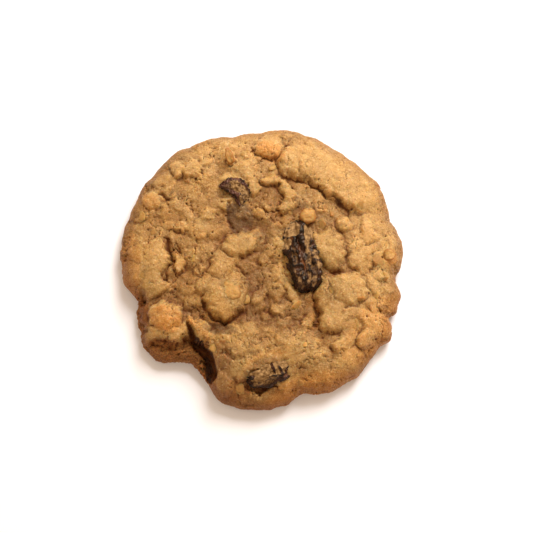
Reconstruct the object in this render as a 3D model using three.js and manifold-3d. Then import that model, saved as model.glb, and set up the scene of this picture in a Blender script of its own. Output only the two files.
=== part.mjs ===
// An oatmeal raisin cookie: one piece of baked drop dough with its oat lumps and flakes in relief,
// a broken lower front-left corner, and three raisins that stand in sockets in its top.
// Millimetres. +Z is up, the tray side lies on Z = 0, and +Y points to the back of the cookie.
import * as THREE from "three";
import { mergeVertices } from "three/addons/utils/BufferGeometryUtils.js";
import Module from "manifold-3d";

// Driving dimensions
const RIM_RADIUS = 37.4; // a 75 mm drop cookie
const RIM_HEIGHT = 2.6; // where the side is widest
const DOME_RISE = 6.6; // from the widest line to the middle of the top, without lumps
const DOME_POWER = 6; // a high power keeps the top flat and rounds only its shoulder
const BASE_INSET = 1.1; // how far the tray face stops short of the rim
const GROUND_WAVE = 0.45; // how far the dough between the lumps rises and falls
const GROUND_WAVE_LENGTH = 17;
const RIM_WAVE = 0.5; // how far the widest line rises and falls
const RIM_WAVE_LENGTH = 9;
const SOCKET_GAP = 0.3; // free space between a raisin and its socket
const SOCKET_LIFT = 8; // how far a socket's upper half is drawn up, so that it stays open
const LUMP_FULLNESS = 0.8; // below 1, a lump is flatter on top and steeper at its foot
const LUMP_LEAN = 0.35; // how much higher a lump stands at one end of its half length than in its middle
const LUMP_LEAN_TO = 222; // the direction of that end, in degrees
const FLAKE_FULLNESS = 0.75;
const CREASE_SOFTNESS = 1.2; // how softly a lump runs into its neighbours
const CRACK_TAPER = 0.6; // share of its width that a crack loses toward its far end
const LUMP_COVER = 0.5; // share of a flake's height that a lump over it hides
const LUMP_COVER_RISE = 1.2; // how high a lump stands where it hides that much

// Mesh fineness
const TOP_RINGS = 36; // ring k holds 6 k corners, so the triangles are all about alike
const RIM_CROWDING = 1.25; // above 1, the rings stand closer together near the rim
const SIDE_STEPS = 3;

// Where the outline swells or draws in: at an angle in degrees, by millimetres, over degrees
const RIM_SWELLS = [
  { at: 10, by: 0.6, over: 5 },
  { at: 20, by: -0.8, over: 3 },
  { at: 37, by: 1.4, over: 8 },
  { at: 55, by: 1.1, over: 14 },
  { at: 78, by: 1.7, over: 13 },
  { at: 110, by: 0.8, over: 6 },
  { at: 124, by: 2.0, over: 12 },
  { at: 145, by: 1.6, over: 16 },
  { at: 168, by: 0.8, over: 8 },
  { at: 194, by: -2.6, over: 5.5 },
  { at: 205, by: -1.5, over: 12 },
  { at: 214, by: 1.1, over: 6 },
  { at: 233, by: -4.9, over: 8 },
  { at: 242.5, by: -3.3, over: 8 },
  { at: 262, by: 0.4, over: 8 },
  { at: 287, by: -2.4, over: 6 },
  { at: 310, by: 0.8, over: 5 },
  { at: 331, by: 1.2, over: 4 },
  { at: 338, by: -1.3, over: 2 },
  { at: 356, by: -1.7, over: 5 },
];

// Small ripples of the outline: how many go round, how deep they are, and where they start in radians
const RIM_RIPPLES = [
  { waves: 23, deep: 0.12, start: 0.4 },
  { waves: 37, deep: 0.1, start: 2.1 },
  { waves: 58, deep: 0.06, start: 1.2 },
];

// The broken corner: between two directions, the top drops by a step beyond a line on the left
// and a line at the front, as far as the crevice on its right
const SHELF = {
  from: 194,
  to: 247,
  softness: 2.5,
  left: 31.0,
  front: 20.0,
  right: 13.9,
  step: 1.2, // width of the step
  drop: 4.6,
  wave: 1.3, // how far the step's edge wanders
  waveLength: 7,
};

// The lumps of oats and dough: centre, half length and half width, turn in degrees, rise over the dome
const LUMPS = [
  { name: "ridge bank", x: 18.6, y: 28.2, long: 9.5, wide: 4.6, turn: -34, rise: 1.8 },
  { name: "ridge bank end", x: 27.0, y: 21.6, long: 8.0, wide: 4.4, turn: -60, rise: 1.6 },
  { name: "right bank", x: 28.4, y: 3.4, long: 15.5, wide: 7.6, turn: 86, rise: 0.5 },
  { name: "front right bank", x: 23.6, y: -21.0, long: 13.0, wide: 7.6, turn: 48, rise: 0.5 },
  { name: "front bank", x: 10.6, y: -28.6, long: 12.0, wide: 4.6, turn: 8, rise: 0.7 },
  { name: "crevice brow", x: -9.0, y: -28.4, long: 6.6, wide: 2.6, turn: 78, rise: 1.5 },
  { name: "back left bank", x: -29.4, y: 19.6, long: 9.0, wide: 4.4, turn: 55, rise: 0.4 },
  { name: "back knoll", x: 2.0, y: 32.6, long: 3.9, wide: 3.5, turn: 20, rise: 1.7 },
  { name: "right back lump", x: 25.1, y: 16.6, long: 3.6, wide: 2.8, turn: -25, rise: 1.8 },
  { name: "round knob", x: 12.0, y: 12.8, long: 2.3, wide: 2.2, turn: 0, rise: 1.9 },
  { name: "small knob", x: 21.6, y: 10.3, long: 2.2, wide: 2.0, turn: -20, rise: 1.7 },
  { name: "back strip", x: 2.4, y: 22.4, long: 3.2, wide: 1.6, turn: -8, rise: 1.1 },
  { name: "back clump a", x: 6.6, y: 19.6, long: 3.0, wide: 1.8, turn: -60, rise: 1.3 },
  { name: "back clump b", x: 6.4, y: 15.4, long: 2.8, wide: 2.0, turn: 50, rise: 1.1 },
  { name: "pale lump", x: -2.4, y: 20.6, long: 2.4, wide: 1.6, turn: -20, rise: 1.0 },
  { name: "upright flake", x: -8.7, y: 28.9, long: 2.4, wide: 1.2, turn: -75, rise: 1.5 },
  { name: "back left lump a", x: -22.7, y: 25.8, long: 2.5, wide: 2.1, turn: 60, rise: 1.6 },
  { name: "back left lump b", x: -18.4, y: 26.1, long: 2.6, wide: 2.4, turn: 10, rise: 1.4 },
  { name: "back left lump c", x: -27.0, y: 23.4, long: 2.4, wide: 1.8, turn: 40, rise: 1.3 },
  { name: "left back lump", x: -29.7, y: 17.8, long: 3.5, wide: 2.8, turn: -65, rise: 1.8 },
  { name: "left chip a", x: -21.4, y: -0.1, long: 2.6, wide: 1.5, turn: -80, rise: 1.2 },
  { name: "left chip b", x: -21.4, y: 10.1, long: 1.9, wide: 1.7, turn: 0, rise: 1.0 },
  { name: "left mound", x: -31.0, y: -1.4, long: 7.2, wide: 5.4, turn: 90, rise: 1.2 },
  { name: "left mound crown", x: -28.0, y: 1.0, long: 6.2, wide: 3.7, turn: 85, rise: 1.9 },
  { name: "left mound edge", x: -33.2, y: 3.8, long: 4.0, wide: 2.4, turn: 95, rise: 1.4 },
  { name: "left mound foot", x: -28.2, y: -6.4, long: 3.8, wide: 2.8, turn: 10, rise: 1.5 },
  { name: "corner knob", x: -25.2, y: -13.6, long: 4.6, wide: 3.6, turn: -8, rise: 2.1 },
  { name: "corner ledge", x: -25.4, y: -18.8, long: 5.6, wide: 2.5, turn: -6, rise: 1.3 },
  { name: "corner crust", x: -25.2, y: -23.2, long: 5.2, wide: 2.4, turn: -14, rise: 0.9 },
  { name: "corner lobe", x: -18.2, y: -23.4, long: 3.6, wide: 2.6, turn: -35, rise: 1.1 },
  { name: "crevice bank", x: -14.6, y: -18.6, long: 6.0, wide: 2.2, turn: -42, rise: 1.3 },
  { name: "middle left mound", x: -9.3, y: -8.4, long: 7.4, wide: 6.0, turn: 70, rise: 2.3 },
  { name: "middle left brow", x: -14.4, y: -6.0, long: 3.6, wide: 3.0, turn: 40, rise: 1.5 },
  { name: "middle saddle", x: -9.6, y: 0.4, long: 5.2, wide: 3.6, turn: 50, rise: 1.7 },
  { name: "ragged clump", x: -5.2, y: 5.2, long: 5.0, wide: 3.2, turn: 25, rise: 2.0 },
  { name: "middle chip a", x: 3.4, y: -2.2, long: 2.7, wide: 1.8, turn: 75, rise: 1.0 },
  { name: "middle chip b", x: 4.2, y: -12.2, long: 2.0, wide: 1.7, turn: -50, rise: 1.3 },
  { name: "middle chip c", x: 7.4, y: -8.4, long: 3.3, wide: 1.5, turn: -70, rise: 1.0 },
  { name: "middle chip d", x: -0.6, y: -8.6, long: 3.0, wide: 1.3, turn: 60, rise: 0.7 },
  { name: "raisin shoulder", x: 17.4, y: 3.8, long: 6.0, wide: 4.2, turn: -62, rise: 2.1 },
  { name: "right lump", x: 25.4, y: 2.2, long: 5.4, wide: 3.2, turn: -75, rise: 1.5 },
  { name: "right bar", x: 27.6, y: 9.2, long: 4.2, wide: 2.0, turn: 80, rise: 1.3 },
  { name: "right rim lump", x: 34.0, y: 4.4, long: 5.2, wide: 2.9, turn: 82, rise: 1.8 },
  { name: "right rim foot", x: 31.8, y: -1.8, long: 3.3, wide: 2.8, turn: 20, rise: 1.6 },
  { name: "right chip a", x: 28.6, y: -10.6, long: 1.9, wide: 1.7, turn: 0, rise: 1.1 },
  { name: "right chip b", x: 28.6, y: -5.6, long: 3.2, wide: 1.6, turn: -75, rise: 1.1 },
  { name: "right mound", x: 20.3, y: -11.0, long: 8.2, wide: 6.2, turn: -76, rise: 1.8 },
  { name: "right mound crown", x: 22.2, y: -6.9, long: 4.8, wide: 4.4, turn: -30, rise: 2.6 },
  { name: "right mound lobe", x: 18.3, y: -14.8, long: 4.4, wide: 4.0, turn: 0, rise: 2.3 },
  { name: "front right knob", x: 26.7, y: -19.6, long: 2.6, wide: 2.5, turn: 0, rise: 2.1 },
  { name: "front right bar", x: 21.1, y: -20.8, long: 3.7, wide: 2.0, turn: 45, rise: 1.8 },
  { name: "front right lump", x: 22.6, y: -26.2, long: 5.6, wide: 4.0, turn: 30, rise: 1.4 },
  { name: "front chip", x: 11.6, y: -16.2, long: 2.4, wide: 1.7, turn: 35, rise: 1.4 },
  { name: "front mound", x: -0.4, y: -23.4, long: 12.6, wide: 7.4, turn: 2, rise: 1.8 },
  { name: "front mound crown", x: 9.6, y: -22.0, long: 7.0, wide: 5.2, turn: -20, rise: 2.1 },
  { name: "front mound brow", x: -6.2, y: -20.4, long: 6.0, wide: 4.4, turn: 12, rise: 2.1 },
  { name: "front pale lump a", x: 12.6, y: -31.2, long: 3.0, wide: 1.8, turn: -10, rise: 1.1 },
  { name: "front pale lump b", x: 17.4, y: -31.0, long: 2.6, wide: 1.7, turn: 70, rise: 1.2 },
];

// The long ridge at the back right, laid down as a row of lumps along an arc
const BACK_RIDGE = {
  from: [8.8, 28.2],
  over: [16.2, 27.0],
  to: [21.0, 21.2],
  wide: 4.8,
  rise: 1.9,
  steps: 6,
};

// Small oat flakes under the dough's skin, spread over the top on a sunflower spiral
const FLAKES = {
  count: 190,
  seed: 7,
  shortest: 1.6,
  longest: 3.2,
  slimness: 0.65,
  lowest: 0.25,
  highest: 0.95,
  tip: 0.35, // how much higher one end stands than the middle
  drift: 1.4,
  reach: 0.96,
};

// The crevice that splits the broken corner off the front mound, and the cracks beside lumps.
// A crack is widest by its flare at the start of its path and tapers from there, and its floor is a
// share of its width
const CRACKS = [
  {
    name: "corner crevice",
    path: [
      [-13.3, -29.4], [-13.3, -26.8], [-13.9, -24.2], [-15.8, -22.2], [-17.5, -20.2], [-18.7, -18.0],
      [-19.8, -15.2],
    ],
    wide: 1.5,
    flare: 0.2,
    deep: 7.4,
    floor: 0.45,
  },
  {
    name: "hollow rim",
    path: [[-9.0, 16.4], [-9.1, 14.1], [-8.7, 11.9], [-7.9, 9.4], [-6.3, 7.7]],
    wide: 0.6,
    flare: 0,
    deep: 0.9,
    floor: 0.1,
  },
  {
    name: "front raisin crack",
    path: [[3.4, -32.2], [0.0, -33.0], [-3.4, -32.7], [-6.8, -31.2]],
    wide: 0.9,
    flare: 0,
    deep: 2.4,
    floor: 0.3,
  },
  {
    name: "foot of the ledge",
    path: [[-31.4, -20.6], [-26.4, -21.6], [-20.4, -22.0]],
    wide: 0.6,
    flare: 0,
    deep: 1.2,
    floor: 0.1,
  },
  {
    name: "left mound crack",
    path: [[-24.6, 6.2], [-24.0, 1.4], [-24.2, -3.4], [-25.4, -6.6]],
    wide: 0.6,
    flare: 0,
    deep: 1.3,
    floor: 0.2,
  },
  {
    name: "left back crack",
    path: [[-27.0, 19.4], [-25.2, 17.2], [-22.8, 16.6]],
    wide: 0.8,
    flare: 0,
    deep: 1.2,
    floor: 0.2,
  },
  {
    name: "ridge crack",
    path: [[20.8, 16.4], [15.6, 20.0], [11.0, 21.6], [6.2, 24.8]],
    wide: 0.6,
    flare: 0,
    deep: 1.2,
    floor: 0.2,
  },
  {
    name: "middle mound crack",
    path: [[-15.0, -11.2], [-12.8, -15.0], [-8.8, -16.2], [-5.2, -13.6], [-3.6, -9.4]],
    wide: 0.9,
    flare: 0,
    deep: 1.4,
    floor: 0.2,
  },
  {
    name: "right mound crack",
    path: [[14.0, -16.6], [13.6, -12.0], [14.6, -8.0]],
    wide: 0.7,
    flare: 0,
    deep: 1.1,
    floor: 0.2,
  },
];

// The raisins: centre, half length, half width and half thickness, sideways bend of the middle,
// then the turn and the side tilt in degrees
const RAISINS = [
  { name: "raisin_middle", x: 10.4, y: 1.9, z: 9.0, half: [9.3, 4.0, 3.4], bend: 0.1, turn: -79, tilt: 0 },
  { name: "raisin_back", x: -7.2, y: 19.4, z: 9.0, half: [4.1, 2.2, 2.0], bend: 1.3, turn: -43, tilt: 0 },
  { name: "raisin_front", x: 1.6, y: -28.6, z: 7.9, half: [5.5, 2.8, 2.5], bend: 0, turn: 18, tilt: 32 },
];

// Lengthwise wrinkles of a raisin: folds round it, depth as a share of its half width, and winding
const RAISIN_WRINKLES = [
  { folds: 5, deep: 0.09, wind: 2.1, start: 0.3 },
  { folds: 9, deep: 0.07, wind: -3.4, start: 1.9 },
];
const RAISIN_TAPER = 0.12; // how much slimmer one end is than the other
const RAISIN_SQUARENESS = 3; // 2 is a plain oval, more is boxier
const RAISIN_AROUND = 26;
const RAISIN_LONG = 15;

const CRUST = new THREE.MeshStandardMaterial({ color: 0xbe8b50, roughness: 0.85, metalness: 0 });
const RAISIN_SKIN = new THREE.MeshStandardMaterial({ color: 0x2c1c18, roughness: 0.4, metalness: 0 });

const radians = THREE.MathUtils.degToRad;

// Shortest way round between two angles in degrees
function angleBetween(a, b) {
  return Math.abs(THREE.MathUtils.euclideanModulo(a - b + 180, 360) - 180);
}

// Radius of the widest line in a direction
function rimRadius(theta) {
  const degrees = THREE.MathUtils.radToDeg(theta);
  const rippled = RIM_RIPPLES.reduce(
    (radius, ripple) => radius + ripple.deep * Math.sin(ripple.waves * theta + ripple.start),
    RIM_RADIUS,
  );
  return RIM_SWELLS.reduce(
    (radius, swell) => radius + swell.by * Math.exp(-((angleBetween(degrees, swell.at) / swell.over) ** 2)),
    rippled,
  );
}

// A gentle three-way wave between -1 and 1
function wave(x, y, length) {
  const k = (2 * Math.PI) / length;
  const first = Math.sin(k * (x + 0.4 * y));
  const second = Math.sin(k * (0.7 * y - 0.6 * x) + 1.3);
  const third = Math.sin(k * (0.9 * x + y) + 4.1);
  return (first + second + third) / 3;
}

// The larger of two heights, rounded off where they cross
function softMax(a, b, softness) {
  const blend = Math.max(softness - Math.abs(a - b), 0) / softness;
  return Math.max(a, b) + (blend * blend * softness) / 4;
}

// Share of its full drop that the broken corner takes at a point, from 0 to 1
function shelfShare(x, y) {
  const middle = (SHELF.from + SHELF.to) / 2;
  const half = (SHELF.to - SHELF.from) / 2;
  const away = angleBetween(THREE.MathUtils.radToDeg(Math.atan2(y, x)), middle);
  const turned = 1 - THREE.MathUtils.smoothstep(away, half - SHELF.softness, half + SHELF.softness);
  const wander = SHELF.wave * wave(x, y, SHELF.waveLength);
  const beyond = Math.max(-y - SHELF.front, -x - SHELF.left) + wander;
  const stepped = (distance) => THREE.MathUtils.smoothstep(distance, -SHELF.step / 2, SHELF.step / 2);
  return turned * stepped(-x - SHELF.right) * stepped(beyond);
}

// How full a lump or a flake is at a point: 1 in its middle and 0 from its edge outwards
function fullness(shape, x, y, power, tip = 0) {
  const turn = radians(shape.turn);
  const dx = x - shape.x;
  const dy = y - shape.y;
  const along = (dx * Math.cos(turn) + dy * Math.sin(turn)) / shape.long;
  const across = (dy * Math.cos(turn) - dx * Math.sin(turn)) / shape.wide;
  const outwards = Math.min(along * along + across * across, 1);
  return (1 - outwards * outwards) ** power * (1 + tip * along);
}

// How far a point lies toward the side that a lump leans to: 1 at the end of its longer half size
function leaning(lump, x, y) {
  const to = radians(LUMP_LEAN_TO);
  const toward = (x - lump.x) * Math.cos(to) + (y - lump.y) * Math.sin(to);
  return toward / Math.max(lump.long, lump.wide);
}

// Distance from a point to a path of straight stretches, and how far along it that is, from 0 to 1
function nearestOnPath(path, x, y) {
  let best = { distance: Infinity, along: 0 };
  for (let i = 0; i + 1 < path.length; i++) {
    const [ax, ay] = path[i];
    const [bx, by] = path[i + 1];
    const length = (bx - ax) ** 2 + (by - ay) ** 2;
    const t = THREE.MathUtils.clamp(((x - ax) * (bx - ax) + (y - ay) * (by - ay)) / length, 0, 1);
    const distance = Math.hypot(x - ax - t * (bx - ax), y - ay - t * (by - ay));
    if (distance < best.distance) best = { distance, along: (i + t) / (path.length - 1) };
  }
  return best;
}

// How deep the cracks cut at a point; each runs out at the end of its path
function crackDepth(x, y) {
  return CRACKS.reduce((depth, crack) => {
    const { distance, along } = nearestOnPath(crack.path, x, y);
    const wide = crack.wide * (1 + crack.flare * (1 - along)) * (1 - CRACK_TAPER * along ** 3);
    const across = 1 - THREE.MathUtils.smoothstep(distance, crack.floor * wide, wide);
    return Math.max(depth, crack.deep * across * (1 - along ** 3));
  }, 0);
}

// A small seeded random number maker, from 0 to 1
function randomMaker(seed) {
  let state = seed;
  return () => {
    state = (state * 16807) % 2147483647;
    return state / 2147483647;
  };
}

// The back ridge as a row of round lumps
function ridgeLumps() {
  const [start, middle, end] = [BACK_RIDGE.from, BACK_RIDGE.over, BACK_RIDGE.to].map(
    ([x, y]) => new THREE.Vector2(x, y),
  );
  const arc = new THREE.QuadraticBezierCurve(start, middle, end);
  return arc.getSpacedPoints(BACK_RIDGE.steps - 1).map((point) => ({
    x: point.x,
    y: point.y,
    long: BACK_RIDGE.wide,
    wide: BACK_RIDGE.wide,
    turn: 0,
    rise: BACK_RIDGE.rise,
  }));
}

const lumps = [...LUMPS, ...ridgeLumps()];

function sunflowerFlakes() {
  const random = randomMaker(FLAKES.seed);
  const between = (low, high) => low + (high - low) * random();
  return Array.from({ length: FLAKES.count }, (_, k) => {
    const theta = k * Math.PI * (3 - Math.sqrt(5));
    const radius = Math.sqrt((k + 0.5) / FLAKES.count) * FLAKES.reach * rimRadius(theta);
    const x = radius * Math.cos(theta) + between(-FLAKES.drift, FLAKES.drift);
    const y = radius * Math.sin(theta) + between(-FLAKES.drift, FLAKES.drift);
    const long = between(FLAKES.shortest, FLAKES.longest);
    const wide = long * between(FLAKES.slimness, 1);
    const turn = between(0, 360);
    const rise = between(FLAKES.lowest, FLAKES.highest);
    return { x, y, long, wide, turn, rise };
  });
}

const flakes = sunflowerFlakes();

// Height of the top: a flat dome with its broken corner, then lumps, flakes and cracks
function topHeight(x, y) {
  const theta = Math.atan2(y, x);
  const share = Math.min(Math.hypot(x, y) / rimRadius(theta), 1);
  const shoulder = Math.sqrt(1 - share ** DOME_POWER);
  const shelf = SHELF.drop * shelfShare(x, y);
  const ground = GROUND_WAVE * wave(x, y, GROUND_WAVE_LENGTH);
  const lumpy = lumps.reduce((relief, lump) => {
    const full = fullness(lump, x, y, LUMP_FULLNESS);
    if (full <= 0) return relief;
    return softMax(relief, lump.rise * full * (1 + LUMP_LEAN * leaning(lump, x, y)), CREASE_SOFTNESS);
  }, ground);
  const flaky = flakes.reduce(
    (relief, flake) => Math.max(relief, flake.rise * fullness(flake, x, y, FLAKE_FULLNESS, FLAKES.tip)),
    0,
  );
  const covered = 1 - LUMP_COVER * THREE.MathUtils.smoothstep(lumpy - ground, 0, LUMP_COVER_RISE);
  const above = Math.max(DOME_RISE - shelf + lumpy + flaky * covered - crackDepth(x, y), 0);
  return RIM_HEIGHT + above * shoulder;
}

function rimHeight(x, y) {
  return RIM_HEIGHT + RIM_WAVE * wave(x, y, RIM_WAVE_LENGTH);
}

// Corners of one ring on the top, at a share of the way out
function topRing(count, share) {
  return Array.from({ length: count }, (_, i) => {
    const theta = (2 * Math.PI * i) / count;
    const radius = share * rimRadius(theta);
    const x = radius * Math.cos(theta);
    const y = radius * Math.sin(theta);
    const z = share < 1 ? topHeight(x, y) : rimHeight(x, y);
    return [x, y, z];
  });
}

// Corners of one ring on the side, from the widest line at 0 down to the tray face at 1
function sideRing(count, down) {
  return Array.from({ length: count }, (_, i) => {
    const theta = (2 * Math.PI * i) / count;
    const rim = rimRadius(theta);
    const top = rimHeight(rim * Math.cos(theta), rim * Math.sin(theta));
    const radius = rim - BASE_INSET * down ** 2;
    return [radius * Math.cos(theta), radius * Math.sin(theta), top * (1 - down)];
  });
}

// The dough as one closed mesh: rings on the top, a few down the side, and a flat tray face
function doughGeometry() {
  const corners = [[0, 0, topHeight(0, 0)]];
  const faces = [];
  for (let k = 1; k <= TOP_RINGS; k++) {
    const share = 1 - (1 - k / TOP_RINGS) ** RIM_CROWDING;
    corners.push(...topRing(6 * k, share));
  }
  const ringStart = (k) => (k === 0 ? 0 : 1 + 3 * k * (k - 1));
  for (let k = 1; k <= TOP_RINGS; k++) {
    const outer = 6 * k;
    const inner = 6 * (k - 1);
    const outerAt = (i) => ringStart(k) + (i % outer);
    const innerAt = (i) => (k === 1 ? 0 : ringStart(k - 1) + (i % inner));
    for (let sector = 0; sector < 6; sector++) {
      for (let i = 0; i < k; i++) {
        const o = sector * k + i;
        const n = sector * (k - 1) + i;
        faces.push([innerAt(n), outerAt(o), outerAt(o + 1)]);
        if (i < k - 1) faces.push([innerAt(n), outerAt(o + 1), innerAt(n + 1)]);
      }
    }
  }
  const around = 6 * TOP_RINGS;
  let above = ringStart(TOP_RINGS);
  for (let step = 1; step <= SIDE_STEPS; step++) {
    const below = corners.length;
    corners.push(...sideRing(around, step / SIDE_STEPS));
    for (let i = 0; i < around; i++) {
      const j = (i + 1) % around;
      faces.push([above + i, below + i, below + j], [above + i, below + j, above + j]);
    }
    above = below;
  }
  const trayMiddle = corners.length;
  corners.push([0, 0, 0]);
  for (let i = 0; i < around; i++) faces.push([above + i, trayMiddle, above + ((i + 1) % around)]);
  return new THREE.BufferGeometry()
    .setAttribute("position", new THREE.Float32BufferAttribute(corners.flat(), 3))
    .setIndex(faces.flat());
}

// A wrinkled raisin about its own centre. To cut its socket it is swollen, and its upper half drawn up
function raisinGeometry(raisin, swell = 0, lift = 0) {
  const [long, wide, thick] = raisin.half.map((half) => half + swell);
  const geometry = new THREE.SphereGeometry(1, RAISIN_AROUND, RAISIN_LONG);
  const position = geometry.getAttribute("position");
  const point = new THREE.Vector3();
  for (let i = 0; i < position.count; i++) {
    point.fromBufferAttribute(position, i);
    // The sphere's poles lie on Y, which becomes the raisin's length
    const round = Math.hypot(point.x, point.z);
    const phi = Math.atan2(point.z, point.x);
    const girth = RAISIN_WRINKLES.reduce(
      (sum, fold) =>
        sum + fold.deep * round * Math.sin(fold.folds * phi + fold.wind * Math.sin(3 * point.y) + fold.start),
      1 + RAISIN_TAPER * point.y,
    );
    const powers = [point.x, point.y, point.z].map((size) => Math.abs(size) ** RAISIN_SQUARENESS);
    const boxy = (powers[0] + powers[1] + powers[2]) ** (-1 / RAISIN_SQUARENESS);
    const sideways = raisin.bend * (1 - 2 * point.y ** 2);
    const across = sideways - point.x * wide * girth * boxy;
    const up = point.z > 1e-6 ? lift : 0;
    position.setXYZ(i, point.y * long * boxy, across, point.z * thick * girth * boxy + up);
  }
  geometry.deleteAttribute("normal");
  geometry.deleteAttribute("uv");
  const merged = mergeVertices(geometry, 1e-4);
  merged.rotateX(radians(raisin.tilt));
  merged.rotateZ(radians(raisin.turn));
  return merged;
}

const wasm = await Module();
wasm.setup();

function solidFrom(geometry) {
  return new wasm.Manifold(
    new wasm.Mesh({
      numProp: 3,
      vertProperties: new Float32Array(geometry.getAttribute("position").array),
      triVerts: new Uint32Array(geometry.index.array),
    }),
  );
}

function geometryFrom(solid) {
  const mesh = solid.getMesh();
  return new THREE.BufferGeometry()
    .setAttribute("position", new THREE.BufferAttribute(mesh.vertProperties, 3))
    .setIndex(new THREE.BufferAttribute(mesh.triVerts, 1));
}

// The dough with a socket for each raisin, without any crumb that a socket cuts loose
function doughWithSockets() {
  let solid = solidFrom(doughGeometry());
  for (const raisin of RAISINS) {
    for (const lift of [0, SOCKET_LIFT]) {
      const cutter = raisinGeometry(raisin, SOCKET_GAP, lift);
      cutter.translate(raisin.x, raisin.y, raisin.z);
      solid = solid.subtract(solidFrom(cutter));
    }
  }
  const bodies = solid.decompose();
  return bodies.reduce((largest, body) => (body.volume() > largest.volume() ? body : largest));
}

// The middle of the outline, which the part's origin stands under
function outlineMiddle() {
  const box = new THREE.Box2();
  for (let i = 0; i < 6 * TOP_RINGS; i++) {
    const theta = (2 * Math.PI * i) / (6 * TOP_RINGS);
    const radius = rimRadius(theta);
    box.expandByPoint(new THREE.Vector2(radius * Math.cos(theta), radius * Math.sin(theta)));
  }
  return box.getCenter(new THREE.Vector2());
}

const cookie = new THREE.Group();

const dough = new THREE.Mesh(geometryFrom(doughWithSockets()), CRUST);
dough.name = "cookie_dough";
cookie.add(dough);

for (const raisin of RAISINS) {
  const mesh = new THREE.Mesh(raisinGeometry(raisin), RAISIN_SKIN);
  mesh.name = raisin.name;
  mesh.position.set(raisin.x, raisin.y, raisin.z);
  cookie.add(mesh);
}

const middle = outlineMiddle();
cookie.position.set(-middle.x, -middle.y, 0);

export default cookie;
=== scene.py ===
"""Looks of an oatmeal raisin cookie: crumbly dough, oat flakes, crumbs, three raisins and a white table.

Lengths in the lists are millimetres and repeat those of the solid part; meshes are made in metres.
"""

import math

import bpy
import numpy as np
from bpy.props import FloatProperty, FloatVectorProperty, IntProperty, PointerProperty
from bpy.types import Operator, Panel, PropertyGroup
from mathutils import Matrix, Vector, noise


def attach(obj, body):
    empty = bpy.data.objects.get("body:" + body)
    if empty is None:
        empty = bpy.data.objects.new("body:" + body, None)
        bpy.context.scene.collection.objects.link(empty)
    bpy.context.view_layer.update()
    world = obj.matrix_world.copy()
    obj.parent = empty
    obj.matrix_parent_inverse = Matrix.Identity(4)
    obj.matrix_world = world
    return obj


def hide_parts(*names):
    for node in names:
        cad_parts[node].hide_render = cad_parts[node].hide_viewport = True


bl_info = {
    "name": "Oatmeal Raisin Cookie",
    "version": (1, 0, 0),
    "blender": (4, 5, 0),
    "location": "3D View > Sidebar > Cookie",
    "description": "Builds an oatmeal raisin cookie in the frame of its solid part",
    "category": "Object",
}

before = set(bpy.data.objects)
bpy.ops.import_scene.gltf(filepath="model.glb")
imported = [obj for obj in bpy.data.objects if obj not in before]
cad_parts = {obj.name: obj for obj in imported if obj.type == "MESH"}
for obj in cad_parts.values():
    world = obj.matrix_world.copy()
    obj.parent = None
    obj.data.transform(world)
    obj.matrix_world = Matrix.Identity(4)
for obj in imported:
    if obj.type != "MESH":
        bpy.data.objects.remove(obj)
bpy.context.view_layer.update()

MM = 0.001

# How much brighter than white the light on a level surface is; surface colours are darker by the same share
BRIGHT = 1.3

# The solid part's own dimensions
RIM_RADIUS = 37.4
RIM_HEIGHT = 2.6
DOME_RISE = 6.6
DOME_POWER = 6
BASE_INSET = 1.1
GROUND_WAVE = 0.45
GROUND_WAVE_LENGTH = 17
RIM_WAVE = 0.5
RIM_WAVE_LENGTH = 9
LUMP_FULLNESS = 0.8
LUMP_LEAN, LUMP_LEAN_TO = 0.35, 222
CREASE_SOFTNESS = 1.2
# The groove along the side that a lump leans to: depth, how far out and how wide as a share of the lump,
# and how far from the lump's middle it is looked for
GROOVE_DEEP, GROOVE_OUT, GROOVE_WIDE, GROOVE_REACH = 0.6, 0.06, 0.12, 1.3

# The solid's own oat flakes under the skin: the same seed and ranges
FLAKE_COUNT, FLAKE_SEED = 190, 7
DRAW_FACTOR, DRAW_MODULUS = 16807, 2147483647
FLAKE_LONG, FLAKE_SLIM, FLAKE_RISE = (1.6, 3.2), 0.65, (0.25, 0.95)
FLAKE_TIP, FLAKE_DRIFT, FLAKE_REACH, FLAKE_FULLNESS = 0.35, 1.4, 0.96, 0.75

# Outline swells: angle in degrees, millimetres, width in degrees
RIM_SWELLS = (
    (10, 0.6, 5), (20, -0.8, 3), (37, 1.4, 8), (55, 1.1, 14), (78, 1.7, 13), (110, 0.8, 6),
    (124, 2.0, 12), (145, 1.6, 16), (168, 0.8, 8), (194, -2.6, 5.5), (205, -1.5, 12), (214, 1.1, 6),
    (233, -4.9, 8), (242.5, -3.3, 8),
    (262, 0.4, 8), (287, -2.4, 6), (310, 0.8, 5), (331, 1.2, 4), (338, -1.3, 2), (356, -1.7, 5),
)
# Outline ripples: waves round, millimetres, start in radians
RIM_RIPPLES = ((23, 0.12, 0.4), (37, 0.1, 2.1), (58, 0.06, 1.2))

# The broken corner: its angles, the lines it lies beyond, how soft its step is, and its drop
SHELF_FROM, SHELF_TO, SHELF_SOFTNESS = 194, 247, 2.5
SHELF_LEFT, SHELF_FRONT, SHELF_STEP, SHELF_DROP = 31.0, 20.0, 1.2, 4.6
SHELF_WAVE, SHELF_WAVE_LENGTH = 1.3, 7
SHELF_RIGHT = 13.9  # the crevice bounds it

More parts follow.
